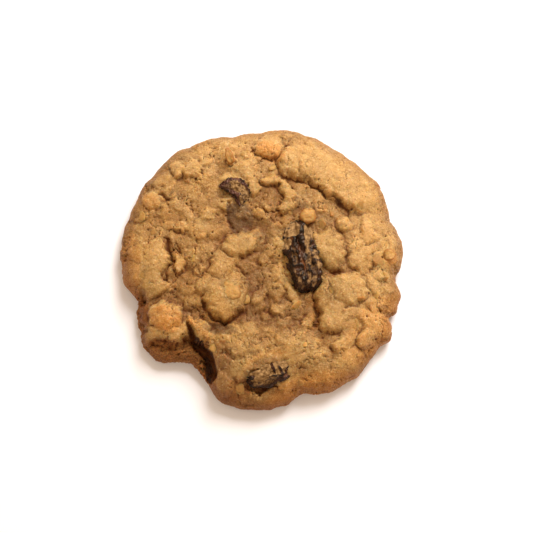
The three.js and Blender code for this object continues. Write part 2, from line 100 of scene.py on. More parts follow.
# Lumps: x, y, half length, half width, turn in degrees, rise
LUMPS = (
    (18.6, 28.2, 9.5, 4.6, -34, 1.8),
    (27.0, 21.6, 8.0, 4.4, -60, 1.6),
    (28.4, 3.4, 15.5, 7.6, 86, 0.5),
    (23.6, -21.0, 13.0, 7.6, 48, 0.5),
    (10.6, -28.6, 12.0, 4.6, 8, 0.7),
    (-9.0, -28.4, 6.6, 2.6, 78, 1.5),
    (-29.4, 19.6, 9.0, 4.4, 55, 0.4),
    (2.0, 32.6, 3.9, 3.5, 20, 1.7),
    (25.1, 16.6, 3.6, 2.8, -25, 1.8),
    (12.0, 12.8, 2.3, 2.2, 0, 1.9),
    (21.6, 10.3, 2.2, 2.0, -20, 1.7),
    (2.4, 22.4, 3.2, 1.6, -8, 1.1),
    (6.6, 19.6, 3.0, 1.8, -60, 1.3),
    (6.4, 15.4, 2.8, 2.0, 50, 1.1),
    (-2.4, 20.6, 2.4, 1.6, -20, 1.0),
    (-8.7, 28.9, 2.4, 1.2, -75, 1.5),
    (-22.7, 25.8, 2.5, 2.1, 60, 1.6),
    (-18.4, 26.1, 2.6, 2.4, 10, 1.4),
    (-27.0, 23.4, 2.4, 1.8, 40, 1.3),
    (-29.7, 17.8, 3.5, 2.8, -65, 1.8),
    (-21.4, -0.1, 2.6, 1.5, -80, 1.2),
    (-21.4, 10.1, 1.9, 1.7, 0, 1.0),
    (-31.0, -1.4, 7.2, 5.4, 90, 1.2),
    (-28.0, 1.0, 6.2, 3.7, 85, 1.9),
    (-33.2, 3.8, 4.0, 2.4, 95, 1.4),
    (-28.2, -6.4, 3.8, 2.8, 10, 1.5),
    (-25.2, -13.6, 4.6, 3.6, -8, 2.1),
    (-25.4, -18.8, 5.6, 2.5, -6, 1.3),
    (-25.2, -23.2, 5.2, 2.4, -14, 0.9),
    (-18.2, -23.4, 3.6, 2.6, -35, 1.1),
    (-14.6, -18.6, 6.0, 2.2, -42, 1.3),
    (-9.3, -8.4, 7.4, 6.0, 70, 2.3),
    (-14.4, -6.0, 3.6, 3.0, 40, 1.5),
    (-9.6, 0.4, 5.2, 3.6, 50, 1.7),
    (-5.2, 5.2, 5.0, 3.2, 25, 2.0),
    (3.4, -2.2, 2.7, 1.8, 75, 1.0),
    (4.2, -12.2, 2.0, 1.7, -50, 1.3),
    (7.4, -8.4, 3.3, 1.5, -70, 1.0),
    (-0.6, -8.6, 3.0, 1.3, 60, 0.7),
    (17.4, 3.8, 6.0, 4.2, -62, 2.1),
    (25.4, 2.2, 5.4, 3.2, -75, 1.5),
    (27.6, 9.2, 4.2, 2.0, 80, 1.3),
    (34.0, 4.4, 5.2, 2.9, 82, 1.8),
    (31.8, -1.8, 3.3, 2.8, 20, 1.6),
    (28.6, -10.6, 1.9, 1.7, 0, 1.1),
    (28.6, -5.6, 3.2, 1.6, -75, 1.1),
    (20.3, -11.0, 8.2, 6.2, -76, 1.8),
    (22.2, -6.9, 4.8, 4.4, -30, 2.6),
    (18.3, -14.8, 4.4, 4.0, 0, 2.3),
    (26.7, -19.6, 2.6, 2.5, 0, 2.1),
    (21.1, -20.8, 3.7, 2.0, 45, 1.8),
    (22.6, -26.2, 5.6, 4.0, 30, 1.4),
    (11.6, -16.2, 2.4, 1.7, 35, 1.4),
    (-0.4, -23.4, 12.6, 7.4, 2, 1.8),
    (9.6, -22.0, 7.0, 5.2, -20, 2.1),
    (-6.2, -20.4, 6.0, 4.4, 12, 2.1),
    (12.6, -31.2, 3.0, 1.8, -10, 1.1),
    (17.4, -31.0, 2.6, 1.7, 70, 1.2),
)
# The long back ridge as an arc of round lumps
RIDGE_ARC = ((8.8, 28.2), (16.2, 27.0), (21.0, 21.2))
RIDGE_WIDE, RIDGE_RISE, RIDGE_STEPS, RIDGE_CORNERS = 4.8, 1.9, 6, 201

# Cracks: path, half width, flare at the start, depth, share of the width that is flat floor
CRACKS = (
    (((-13.3, -29.4), (-13.3, -26.8), (-13.9, -24.2), (-15.8, -22.2), (-17.5, -20.2), (-18.7, -18.0),
      (-19.8, -15.2)), 1.5, 0.2, 7.4, 0.45),
    (((-9.0, 16.4), (-9.1, 14.1), (-8.7, 11.9), (-7.9, 9.4), (-6.3, 7.7)), 0.6, 0, 0.9, 0.1),
    (((3.4, -32.2), (0.0, -33.0), (-3.4, -32.7), (-6.8, -31.2)), 0.9, 0, 2.4, 0.3),
    (((-31.4, -20.6), (-26.4, -21.6), (-20.4, -22.0)), 0.6, 0, 1.2, 0.1),
    (((-24.6, 6.2), (-24.0, 1.4), (-24.2, -3.4), (-25.4, -6.6)), 0.6, 0, 1.3, 0.2),
    (((-27.0, 19.4), (-25.2, 17.2), (-22.8, 16.6)), 0.8, 0, 1.2, 0.2),
    (((20.8, 16.4), (15.6, 20.0), (11.0, 21.6), (6.2, 24.8)), 0.6, 0, 1.2, 0.2),
    (((-15.0, -11.2), (-12.8, -15.0), (-8.8, -16.2), (-5.2, -13.6), (-3.6, -9.4)), 0.9, 0, 1.4, 0.2),
    (((14.0, -16.6), (13.6, -12.0), (14.6, -8.0)), 0.7, 0, 1.1, 0.2),
)

# Share of its width that a crack loses toward its far end
CRACK_TAPER = 0.6
# Depth from which a crack is painted fully dark as shade, and the line in front of which it never is
CRACK_SHADE_DEPTH, CRACK_SHADE_FROM = 5, (-34, -30)

# Raisins: node, centre, half sizes, bend, turn, tilt
RAISINS = (
    ("raisin_middle", (10.4, 1.9, 9.0), (9.3, 4.0, 3.4), 0.1, -79, 0),
    ("raisin_back", (-7.2, 19.4, 9.0), (4.1, 2.2, 2.0), 1.3, -43, 0),
    ("raisin_front", (1.6, -28.6, 7.9), (5.5, 2.8, 2.5), 0, 18, 32),
)
# Lengthwise wrinkles: folds, depth, winding, start
RAISIN_WRINKLES = ((5, 0.09, 2.1, 0.3), (9, 0.07, -3.4, 1.9))
RAISIN_TAPER = 0.12
# Power of a raisin's rounding: 2 is an ellipse, more is boxier
RAISIN_BOXINESS = 3.0
# How far across each raisin the dough stays clear of it; beyond, dough covers it
RAISIN_COVERED = {"raisin_middle": 9.0, "raisin_back": 9.0, "raisin_front": 1.1}
# Share of its half width from which the dough dips under a raisin, so that no gap shows beside it
RAISIN_HUG = 0.9

# Mesh fineness: the dough's top, side wall and underside, a raisin, a whole oat flake, the solid's outline
TOP_RINGS = 150
SIDE_STEPS = 12
TRAY_SHARES = (0.99, 0.965, 0.92, 0.84, 0.68, 0.4)
RAISIN_AROUND, RAISIN_ALONG = 150, 110
SHOWN_RINGS, SHOWN_AROUND = 12, 48
OUTLINE_CORNERS = 216

# Relief finer than the solid's
# Small clods: shortest and longest, slimmest and roundest, lowest and highest, as shares of a cell
CLOD_LONG, CLOD_SLIM, CLOD_RISE = (0.6, 1.0), (0.55, 1.0), (0.3, 1.0)
# Softness of the creases between clods, strength of the fine ones, and width of the grid that they lie on
CLOD_SOFTNESS, CLOD_FINE_SHARE, CLOD_GRID = 0.12, 0.5, 100
# Cells of the coarse clods, the fine ones and those of the broken corner, in millimetres
CLOD_COARSE, CLOD_FINE, CLOD_TORN = 2.6, 1.4, 1.7
# Noise: size of its lumps in millimetres, octaves, offset
WANDER_ACROSS = ((4.5, 3, 11.3), (1.6, 3, 5.1))
WANDER_ALONG = ((4.5, 3, 47.9), (1.6, 3, 31.7))
SWELL_NOISE = (9.0, 3, 87.0)
GROOVE_NOISE = (3.6, 2, 17.0)
TORN_NOISE = (2.4, 4, 91.0)
CRUMB_BROAD, CRUMB_GRAIN = (2.6, 3, 21.0), (0.7, 3, 63.0)
CRACK_LINES, CRACK_PLACES = (4.2, 3, 5.5), (7.0, 2, 35.0)
# Fall of strength and rise of fineness from one octave of noise to the next
OCTAVE_FALL, OCTAVE_RISE = 0.9, 2.1
# How strong the finer wander of lump edges is, and between which values of its noise a groove fades in
WANDER_FINE, GROOVE_FADE = 0.45, (-0.25, 0.15)
# Open pores: spacing in millimetres, offset, and inner and outer radius as shares of the spacing
PORE_SPACING, PORE_OFFSET, PORE_RADIUS = 2.2, 71.3, (0.08, 0.18)

# How colour finds raised places, and the hollows and seams that it paints as shade: blur, cell and half
# width of the grid of average heights, all in millimetres, and rounds of smoothing for narrow seams and for
# wider hollows
LIFT_BLUR, LIFT_CELL, LIFT_HALF = 3.2, 0.6, 42.0
SEAM_ROUNDS, HOLLOW_ROUNDS = 8, 30

# Whole oats that show: x, y, half length, half width, turn, lean, height over the dough, plumpness
SHOWN_FLAKES = (
    (12.0, 12.4, 2.3, 2.1, 10, 0, -0.5, 1.0),
    (-8.2, -7.6, 3.2, 2.8, 140, 4, -0.9, 0.7),
    (-8.7, 28.9, 2.2, 1.1, -75, 20, 0.4, 0.2),
    (33.4, 2.4, 1.8, 1.5, 20, 8, 0.0, 0.2),
)

# Films and flakes of dough on each raisin: x, y, half length, half width, turn, strength; below 0 takes away
FILMS = {
    "raisin_middle": (
        (7.6, 8.7, 2.8, 3.0, 80, 1.3), (12.2, 8.0, 3.4, 1.6, 95, 1.1), (11.9, 4.6, 1.6, 1.3, 80, 0.8),
        (6.4, 4.8, 1.9, 1.5, 80, 1.1), (12.0, 1.6, 3.6, 0.75, -80, 0.8), (13.9, 1.9, 2.0, 1.1, -60, 0.75),
        (14.4, -0.9, 1.7, 0.8, -40, 1.0), (13.4, -5.2, 1.9, 1.1, 70, 0.62), (10.6, -3.4, 1.2, 1.1, 0, 0.6),
        (8.4, 1.2, 3.4, 0.8, -84, 0.62), (13.0, 0.0, 5.2, 2.0, -75, 0.52), (11.0, -6.0, 3.0, 0.9, 30, 0.55),
        (8.0, -2.4, 3.2, 0.7, -70, 0.6), (9.4, -5.0, 1.6, 0.9, -60, 0.6), (12.0, -2.0, 4.0, 0.6, -80, 0.66),
        (10.4, 8.2, 3.2, 0.45, 92, -1.0), (8.6, 6.3, 2.4, 0.4, 5, -1.0), (5.7, 8.4, 2.8, 0.45, 80, -1.0),
        (7.6, 11.5, 2.4, 0.4, 10, -1.0), (13.5, 8.2, 2.8, 0.4, 97, -1.0),
    ),
    "raisin_back": (
        (-6.4, 20.3, 3.0, 1.5, -35, 1.2), (-4.6, 18.6, 2.0, 1.3, -70, 1.0), (-5.0, 16.8, 2.0, 1.2, -60, 0.9),
        (-8.4, 20.6, 3.0, 1.4, 10, 0.55),
    ),
    "raisin_front": (
        (-0.4, -28.6, 4.6, 2.8, 16, 1.6), (4.6, -27.4, 3.2, 2.2, 30, 1.5), (1.0, -30.8, 4.4, 1.1, 18, 0.68),
        (2.6, -27.3, 2.4, 0.4, -65, -1.0), (4.9, -28.4, 1.6, 0.4, -62, -1.0),
        (6.4, -28.2, 1.3, 0.5, 80, -1.0), (-3.0, -30.3, 1.2, 0.7, 10, -1.0),
    ),
}
# Places where light comes through a raisin's skin: x, y, half length, half width, turn, strength
AMBER = {
    "raisin_middle": (
        (10.5, -0.9, 1.8, 0.5, -68, 0.8), (8.2, 6.4, 1.1, 0.6, 20, 0.8), (9.6, 3.4, 2.0, 0.5, -80, 0.3),
    ),
    "raisin_back": (),
    "raisin_front": ((5.8, -29.4, 1.4, 0.5, 20, 0.5),),
}
# Folds round each raisin, and how dull and dusty its skin is
FOLDS = {"raisin_middle": 14, "raisin_back": 10, "raisin_front": 10}
DUSTY = {"raisin_middle": 0.0, "raisin_back": 0.95, "raisin_front": 0.15}

# How much less noise varies along a raisin, so that its folds run lengthwise
FOLD_STRETCH = np.array([0.3, 1, 1])
# Thickness of a film of dough
FILM_THICK = 0.12

# Scattered flakes before they are sized: ball, its fineness, bumps and their push, flatness and sinking;
# then the ranges of slant in radians and of size
SCATTER_BALL, SCATTER_FINENESS = 0.5, 3
SCATTER_BUMPS, SCATTER_PUSH = 1.6, 0.5
SCATTER_FLAT, SCATTER_SINK = (1.0, 0.78, 0.2), (0, 0, -0.03)
SCATTER_SLANTS = ((-0.3, -0.3, 0), (0.3, 0.3, 6.28))
SCATTER_SIZES = ((0.5, 0.5, 0.6), (1.15, 1.15, 1.2))
# How far from a raisin they stay, in millimetres
SCATTER_CLEAR = 1.2

# How far inside its edge a patch is at full strength
PATCH_EDGE = 0.45
# Stains round the raisins, and painted shade in hollows and along cracks: x, y, half length, half width,
# turn, strength
STAINS_AND_SHADE = (
    (-5.6, 12.4, 4.9, 3.7, -75, 1.5),
    (-7.9, 14.8, 1.7, 1.3, 80, 1.7),
    (-8.9, 13.4, 3.4, 0.5, -84, 2.0),
    (-7.5, 8.8, 2.4, 0.5, -52, 1.8),
    (20.2, 16.6, 1.5, 0.8, -60, 2.0),
    (-7.2, 19.4, 5.0, 3.6, -43, 0.5),
    (10.4, 1.9, 9.9, 5.2, -79, 0.6),
    (1.4, -28.8, 7.4, 4.4, 18, 1.0),
    (-11.0, -17.4, 5.0, 1.8, -8, 1.2),
    (0.5, 10.0, 5.5, 4.5, 0, 0.4),
    (2.0, -12.0, 11.0, 6.0, 0, 0.4),
    (-9.0, -26.0, 6.0, 5.0, 80, 0.4),
    (20.0, -12.0, 8.0, 6.0, -76, 0.25),
)
# Places painted darker, of the same form: the left side wall and the front mound's left wall as painted
# shade, and the front edge below the front raisin as browned crust with painted shadow
SHADED_AND_BROWNED = (
    (-9.0, -33.4, 8.0, 3.8, 14, 0.7),
    (-31.8, -13.0, 5.0, 2.6, 85, 0.8),
    (-11.4, -27.4, 8.0, 4.0, 80, 0.6),
)
# How browned the underside is
UNDERSIDE_BROWN = 0.5
# Paler places of the same form
PALER = (
    (-20.0, 8.0, 20.0, 12.0, 45, 0.25),
    (-12.0, 0.0, 8.0, 6.0, 20, 0.3),
    (-6.0, 31.0, 12.0, 5.0, 0, 0.3),
    (14.0, 20.0, 12.0, 5.0, -35, 0.35),
)
# Orange, more toasted lumps: x, y, half length, half width, turn, strength
TOASTED = (
    (-25.0, -14.6, 5.0, 3.8, -20, 0.7),
    (29.0, -17.0, 13.0, 6.0, 50, 0.35),
    (14.0, -33.0, 14.0, 5.0, 14, 0.45),
    (-16.6, -17.2, 5.8, 1.1, -45, 0.35),
    (-25.0, -22.0, 6.0, 2.6, -10, 0.4),
    (2.2, 30.8, 4.6, 3.0, -30, 0.6),
    (33.4, 1.8, 2.4, 2.4, 0, 0.5),
    (-29.7, 16.8, 3.0, 2.4, -60, 0.35),
    (1.0, -26.0, 6.0, 3.0, 20, 0.3),
    (-34.6, -2.0, 12.0, 3.2, 90, 0.35),
)

# What the dough's looks read from its mesh
DOUGH_MARKS = ("lift", "hollow_shade", "seam", "brown_and_shade", "painted_light_and_pale", "stain_and_shade", "toast", "deep", "raw")
# Tints of the dough: mark, its values from and to, share at most, screen colour. The first paints light on
# the lamp's side, the third browns the low front wall and paints it darker as shade, the last paints stains
# and shade in hollows.
PLACE_TINTS = (
    ("painted_light_and_pale", 0.0, 1.0, 0.34, (230, 180, 112)),
    ("toast", 0.0, 1.0, 0.8, (224, 148, 64)),
    ("brown_and_shade", 0.0, 1.0, 0.9, (140, 80, 28)),
    ("stain_and_shade", 0.0, 2.0, 1.0, (108, 76, 46)),
)
# Painted shade: the deep crevice, wider hollows and narrow seams painted darker and warmer
RELIEF_TINTS = (
    ("deep", 0.2, 0.8, 0.95, (54, 22, 6)),
    ("hollow_shade", 0.15, 0.55, 0.5, (158, 90, 32)),
    ("seam", 0.07, 0.22, 0.65, (98, 46, 12)),
)
# Pores painted dark as shade: how many to a millimetre, and their radius in cells
PORES = ((0.7, 0.14), (1.25, 0.17))
# Hair cracks: how many to a millimetre, width in cells, how rarely they open and in patches of what size
CRACKLES = ((0.36, 0.035, 0.52, 5.0), (0.8, 0.06, 0.56, 3.4))
# How far hair cracks stray from straight, in millimetres
CRACKLE_DRIFT = 2.4
# Light that enters baked dough and oats and comes out warmer
BAKED = {"Subsurface Weight": 0.7, "Subsurface Radius": (1.0, 0.45, 0.2), "Subsurface Scale": 1.5 * MM}


# Numbers of the shape
def rim_radius(theta):
    """Radius of the widest line at angles in radians, in millimetres."""
    degrees = np.degrees(theta)
    radius = np.full_like(theta, RIM_RADIUS)
    for waves, deep, start in RIM_RIPPLES:
        radius += deep * np.sin(waves * theta + start)
    for at, by, over in RIM_SWELLS:
        away = np.abs((degrees - at + 180) % 360 - 180)
        radius += by * np.exp(-((away / over) ** 2))
    return radius


def wave(x, y, length):
    """A gentle three-way wave between -1 and 1."""
    k = 2 * math.pi / length
    first = np.sin(k * (x + 0.4 * y))
    second = np.sin(k * (0.7 * y - 0.6 * x) + 1.3)
    third = np.sin(k * (0.9 * x + y) + 4.1)
    return (first + second + third) / 3


def smooth_step(value, low, high):
    """Rise smoothly from 0 at one value to 1 at another."""
    t = np.clip((value - low) / (high - low), 0, 1)
    return t * t * (3 - 2 * t)


def soft_max(a, b, softness):
    """The larger of two values, with a rounded crease where they meet."""
    blend = np.maximum(softness - np.abs(a - b), 0) / softness
    return np.maximum(a, b) + blend * blend * softness / 4


def between(ends, share):
    """The value at a share of the way between two ends."""
    return ends[0] + (ends[1] - ends[0]) * share


def inside_ellipse(shape, x, y, clip=True):
    """How far inside an ellipse points are: 1 in its middle, 0 at its edge; and the way along it."""
    cx, cy, long, wide, turn = shape[:5]
    cos, sin = math.cos(math.radians(turn)), math.sin(math.radians(turn))
    along = ((x - cx) * cos + (y - cy) * sin) / long
    across = ((y - cy) * cos - (x - cx) * sin) / wide
    inside = 1 - along**2 - across**2
    return np.maximum(inside, 0) if clip else inside, along


def flat_topped(inside):
    """Widen the high middle of a dome that rises from 0 at its edge to 1."""
    return 1 - (1 - inside) ** 2


def ridge_lumps():
    """Round lumps spread evenly along the back ridge's arc."""
    a, b, c = (np.array(p) for p in RIDGE_ARC)
    fine = np.linspace(0, 1, RIDGE_CORNERS)[:, None]
    arc = (1 - fine) ** 2 * a + 2 * fine * (1 - fine) * b + fine**2 * c
    run = np.concatenate([[0], np.cumsum(np.linalg.norm(np.diff(arc, axis=0), axis=1))])
    stops = np.linspace(0, run[-1], RIDGE_STEPS)
    return [
        (np.interp(s, run, arc[:, 0]), np.interp(s, run, arc[:, 1]), RIDGE_WIDE, RIDGE_WIDE, 0, RIDGE_RISE)
        for s in stops
    ]


def crack_depth(x, y):
    """How deep the cracks cut at points."""
    depth = np.zeros_like(x)
    for path, wide, flare, deep, flat in CRACKS:
        best = np.full_like(x, 1e9)
        along = np.zeros_like(x)
        for i, ((ax, ay), (bx, by)) in enumerate(zip(path, path[1:])):
            length = (bx - ax) ** 2 + (by - ay) ** 2
            t = np.clip(((x - ax) * (bx - ax) + (y - ay) * (by - ay)) / length, 0, 1)
            distance = np.hypot(x - ax - t * (bx - ax), y - ay - t * (by - ay))
            nearer = distance < best
            best = np.where(nearer, distance, best)
            along = np.where(nearer, (i + t) / (len(path) - 1), along)
        reach = wide * (1 + flare * (1 - along)) * (1 - CRACK_TAPER * along**3)
        across = 1 - smooth_step(best, flat * reach, reach)
        depth = np.maximum(depth, deep * across * (1 - along**3))
    return depth


def shelf_share(x, y):
    """Share of its full drop that the broken corner takes at points, from 0 to 1."""
    middle, half = (SHELF_FROM + SHELF_TO) / 2, (SHELF_TO - SHELF_FROM) / 2
    away = np.abs((np.degrees(np.arctan2(y, x)) - middle + 180) % 360 - 180)
    turned = 1 - smooth_step(away, half - SHELF_SOFTNESS, half + SHELF_SOFTNESS)
    beyond = np.maximum(-y - SHELF_FRONT, -x - SHELF_LEFT) + SHELF_WAVE * wave(x, y, SHELF_WAVE_LENGTH)
    left = smooth_step(-x - SHELF_RIGHT, -SHELF_STEP / 2, SHELF_STEP / 2)
    return turned * left * smooth_step(beyond, -SHELF_STEP / 2, SHELF_STEP / 2)


def sample(function, points):
    """A mathutils noise function's value at each point."""
    return np.array([function(p) for p in points.tolist()])


def cloud(points, size, octaves, offset):
    """Fractal noise, about -1 to 1, with lumps of a size in millimetres."""
    moved = points / size + offset
    return sample(lambda p: noise.fractal(p, OCTAVE_FALL, OCTAVE_RISE, octaves), moved)


def wander(points, noises):
    """How far lump edges wander one way: a broad noise and a finer one."""
    broad, fine = (cloud(points, *each) for each in noises)
    return broad + WANDER_FINE * fine


def cell_distance(points, size, offset):
    """Distance to the nearest of scattered cell centres, in cell sizes."""
    return sample(lambda p: noise.voronoi(p)[0][0], points / size + offset)


# Mesh helpers
def ring_faces(rings):
    """Triangles of a disc whose ring k has 6 k corners."""
    def start(k):
        return 0 if k == 0 else 1 + 3 * k * (k - 1)

    faces = []
    for k in range(1, rings + 1):
        outer, inner = 6 * k, max(6 * (k - 1), 1)
        o0, n0 = start(k), start(k - 1)
        for sector in range(6):
            for i in range(k):
                o, n = sector * k + i, sector * (k - 1) + i
                a, b, c = n0 + n % inner, o0 + o, o0 + (o + 1) % outer
                faces.append((a, b, c))
                if i < k - 1:
                    faces.append((a, c, n0 + (n + 1) % inner))
    return faces


def vertex_normals(points, faces):
    """Directions straight out of a triangle mesh at its points."""
    a, b, c = (points[faces[:, i]] for i in range(3))
    face_normals = np.cross(b - a, c - a)
    normals = np.zeros_like(points)
    for i in range(3):
        for axis in range(3):
            normals[:, axis] += np.bincount(faces[:, i], face_normals[:, axis], len(points))
    return normals / np.maximum(np.linalg.norm(normals, axis=1), 1e-12)[:, None]


def blurred(values, faces, count, steps):
    """Values on a mesh's points, averaged with their neighbours a number of times."""
    starts = np.concatenate([faces[:, 0], faces[:, 1], faces[:, 2]])
    ends = np.concatenate([faces[:, 1], faces[:, 2], faces[:, 0]])
    degree = np.bincount(starts, minlength=count) + np.bincount(ends, minlength=count)
    for _ in range(steps):
        total = np.bincount(starts, values[ends], count) + np.bincount(ends, values[starts], count)
        values = 0.5 * values + 0.5 * total / degree
    return values


def rotation(axis, degrees):
    """A turn about axis 0, 1 or 2, as a matrix."""
    cos, sin = math.cos(math.radians(degrees)), math.sin(math.radians(degrees))
    a, b = (axis + 1) % 3, (axis + 2) % 3
    turn = np.eye(3)
    turn[a, a] = turn[b, b] = cos
    turn[a, b], turn[b, a] = -sin, sin
    return turn


def mesh_object(name, points, faces, attributes=()):
    """A smooth-shaded object from points in millimetres."""
    mesh = bpy.data.meshes.new(name)
    mesh.from_pydata((points * MM).tolist(), [], [tuple(f) for f in faces])
    mesh.polygons.foreach_set("use_smooth", np.ones(len(mesh.polygons), bool))
    for key, values in attributes:
        layer = mesh.attributes.new(key, "FLOAT", "POINT")
        layer.data.foreach_set("value", values.astype(np.float32))
    mesh.update()
    obj = bpy.data.objects.new(name, mesh)
    bpy.context.scene.collection.objects.link(obj)
    return obj


def origin_shift():
    """From the lists' centre to the solid part's origin: the middle of the outline."""
    theta = np.arange(OUTLINE_CORNERS) * 2 * math.pi / OUTLINE_CORNERS
    radius = rim_radius(theta)
    x, y = radius * np.cos(theta), radius * np.sin(theta)
    return np.array([-(x.min() + x.max()) / 2, -(y.min() + y.max()) / 2, 0])


# The dough
def lumpy_relief(x, y, ground, broken):
    """Relief of the lumps over uneven ground, each with a broken groove along the side that it leans to."""
    relief = ground.copy()
    groove = np.zeros_like(x)
    to_x, to_y = math.cos(math.radians(LUMP_LEAN_TO)), math.sin(math.radians(LUMP_LEAN_TO))
    for lump in (*LUMPS, *ridge_lumps()):
        away = np.hypot(x - lump[0], y - lump[1])
        near = away < GROOVE_REACH * max(lump[2], lump[3])
        inside, _ = inside_ellipse(lump, x[near], y[near], clip=False)
        dome = flat_topped(np.maximum(inside, 0)) ** LUMP_FULLNESS
        way = ((x[near] - lump[0]) * to_x + (y[near] - lump[1]) * to_y) / np.maximum(away[near], 0.1)
        lean = way * away[near] / max(lump[2], lump[3])
        raised = soft_max(relief[near], lump[5] * dome * (1 + LUMP_LEAN * lean), CREASE_SOFTNESS)
        relief[near] = np.where(inside > 0, raised, relief[near])
        line = np.exp(-(((inside + GROOVE_OUT) / GROOVE_WIDE) ** 2)) * smooth_step(way, 0.0, 0.6)
        deep = np.minimum(lump[5] / 2, 1) * line * broken[near]
        groove[near] = np.maximum(np.where(inside > 0.1, groove[near] * (1 - dome), groove[near]), deep)
    return relief, groove


def add_flake(relief, x, y, shape, rise):
    """Raise a relief to one flat flake, one end tipped up."""
    near = np.hypot(x - shape[0], y - shape[1]) < max(shape[2], shape[3])
    inside, along = inside_ellipse(shape, x[near], y[near])
    flake = rise * flat_topped(inside) ** FLAKE_FULLNESS * (1 + FLAKE_TIP * along)
    relief[near] = np.maximum(relief[near], flake)


def solid_flakes(x, y):
    """Relief of the flakes that the solid part has too."""
    state = FLAKE_SEED

    def draw(low, high):
        nonlocal state
        state = state * DRAW_FACTOR % DRAW_MODULUS
        return low + (high - low) * state / DRAW_MODULUS

    relief = np.zeros_like(x)
    for k in range(FLAKE_COUNT):
        theta = k * math.pi * (3 - math.sqrt(5))
        rim = rim_radius(np.array([theta % (2 * math.pi)]))[0]
        radius = math.sqrt((k + 0.5) / FLAKE_COUNT) * FLAKE_REACH * rim
        cx = radius * math.cos(theta) + draw(-FLAKE_DRIFT, FLAKE_DRIFT)
        cy = radius * math.sin(theta) + draw(-FLAKE_DRIFT, FLAKE_DRIFT)
        long = draw(*FLAKE_LONG)
        wide = long * draw(FLAKE_SLIM, 1)
        turn = draw(0, 360)
        add_flake(relief, x, y, (cx, cy, long, wide, turn), draw(*FLAKE_RISE))
    return relief


def clods(x, y, size, seed):
    """Rounded clods on a jittered grid with cells of a size in millimetres: 0 to 1 at points."""
    count = int(CLOD_GRID / size) + 4
    table = np.random.default_rng(seed).random((count, count, 6))
    gx, gy = x / size + count / 2, y / size + count / 2
    ix, iy = np.floor(gx).astype(int), np.floor(gy).astype(int)
    height = np.zeros_like(x)
    for dx in (-1, 0, 1):
        for dy in (-1, 0, 1):
            px, py, turn, long, slim, rise = table[ix + dx, iy + dy].T
            px, py = gx - ix - dx - px, gy - iy - dy - py
            cos, sin = np.cos(math.pi * turn), np.sin(math.pi * turn)
            long = between(CLOD_LONG, long)
            wide = long * between(CLOD_SLIM, slim)
            inside = 1 - ((px * cos + py * sin) / long) ** 2 - ((py * cos - px * sin) / wide) ** 2
            dome = np.maximum(inside, 0) ** LUMP_FULLNESS * between(CLOD_RISE, rise)
            height = soft_max(height, dome, CLOD_SOFTNESS)
    return height


def patches(shapes, x, y):
    """Strength of soft-edged patches at points."""
    total = np.zeros_like(x)
    for *shape, strength in shapes:
        inside, _ = inside_ellipse(shape, x, y)
        total = np.maximum(total, strength * smooth_step(inside, 0, PATCH_EDGE))
    return total


def raisin_floor(x, y, z):
    """The dough dips under each raisin, so that it hugs the raisin's widest line."""
    for name, centre, half, bend, turn, _ in RAISINS:
        cos, sin = math.cos(math.radians(turn)), math.sin(math.radians(turn))
        along = ((x - centre[0]) * cos + (y - centre[1]) * sin) / (RAISIN_HUG * half[0])
        across = (y - centre[1]) * cos - (x - centre[0]) * sin - bend * (1 - 2 * along**2)
        inside = 1 - along**2 - (across / (RAISIN_HUG * half[1])) ** 2
        floor = centre[2] - half[2] * np.sqrt(np.maximum(inside, 0))
        z = np.where((inside > 0) & (across < RAISIN_COVERED[name]), np.minimum(z, floor), z)
    return z


def top_points(settings):
    """The dough's top before its crumb: corners ring by ring, and how lumpy each place is."""
    rings = [np.zeros((1, 2))]
    for k in range(1, TOP_RINGS + 1):
        theta = np.arange(6 * k) * 2 * math.pi / (6 * k)
        rings.append(np.stack([theta, np.full(6 * k, k / TOP_RINGS)], 1))
    theta, share = np.concatenate(rings).T
    radius = rim_radius(theta) * share
    x, y = radius * np.cos(theta), radius * np.sin(theta)
    flat = np.stack([x, y, np.zeros_like(x)], 1)
    bend = settings.warp / MM
    wx = x + bend * wander(flat, WANDER_ACROSS)
    wy = y + bend * wander(flat, WANDER_ALONG)
    shoulder = np.sqrt(1 - np.minimum(share, 1) ** DOME_POWER)
    broken_off = shelf_share(wx, wy)
    ground = GROUND_WAVE * wave(x, y, GROUND_WAVE_LENGTH) + settings.swell / MM * cloud(flat, *SWELL_NOISE)
    broken = smooth_step(cloud(flat, *GROOVE_NOISE), *GROOVE_FADE)
    lumpy, groove = lumpy_relief(wx, wy, ground, broken)
    on_lump = smooth_step(lumpy - ground, 0.1, 1.2)
    seed = settings.seed
    fine = clods(wx, wy, CLOD_COARSE, seed) + CLOD_FINE_SHARE * clods(wx, wy, CLOD_FINE, seed + 1)
    fine = settings.clods / MM * fine
    flaky = (solid_flakes(wx, wy) - 0.2) * (1 - 0.5 * on_lump) + (fine - 0.3) * (1 - 0.3 * on_lump)
    flaky += broken_off * (0.9 * cloud(flat, *TORN_NOISE) + 0.5 * clods(wx, wy, CLOD_TORN, seed + 2))
    cut = crack_depth(wx, wy) + GROOVE_DEEP * groove
    above = np.maximum(DOME_RISE - SHELF_DROP * broken_off + lumpy + flaky - cut, 0)
    rim = RIM_HEIGHT + RIM_WAVE * wave(x, y, RIM_WAVE_LENGTH)
    z = np.where(share < 1, RIM_HEIGHT + above * shoulder, rim)
    return np.stack([x, y, raisin_floor(x, y, z)], 1), on_lump


def lower_points(top):
    """The side wall below the top's last ring, and the underside to its middle."""
    theta = np.arange(6 * TOP_RINGS) * 2 * math.pi / (6 * TOP_RINGS)
    rim_r = rim_radius(theta)
    rim_z = top[-6 * TOP_RINGS:, 2]
    lower = []
    for step in range(1, SIDE_STEPS + 1):
        down = step / SIDE_STEPS
        radius = rim_r - BASE_INSET * down**2
        lower.append(np.stack([radius * np.cos(theta), radius * np.sin(theta), rim_z * (1 - down)], 1))
    for share in TRAY_SHARES:
        radius = (rim_r - BASE_INSET) * share
        lower.append(np.stack([radius * np.cos(theta), radius * np.sin(theta), np.zeros_like(theta)], 1))
    return np.concatenate([*lower, np.zeros((1, 3))])


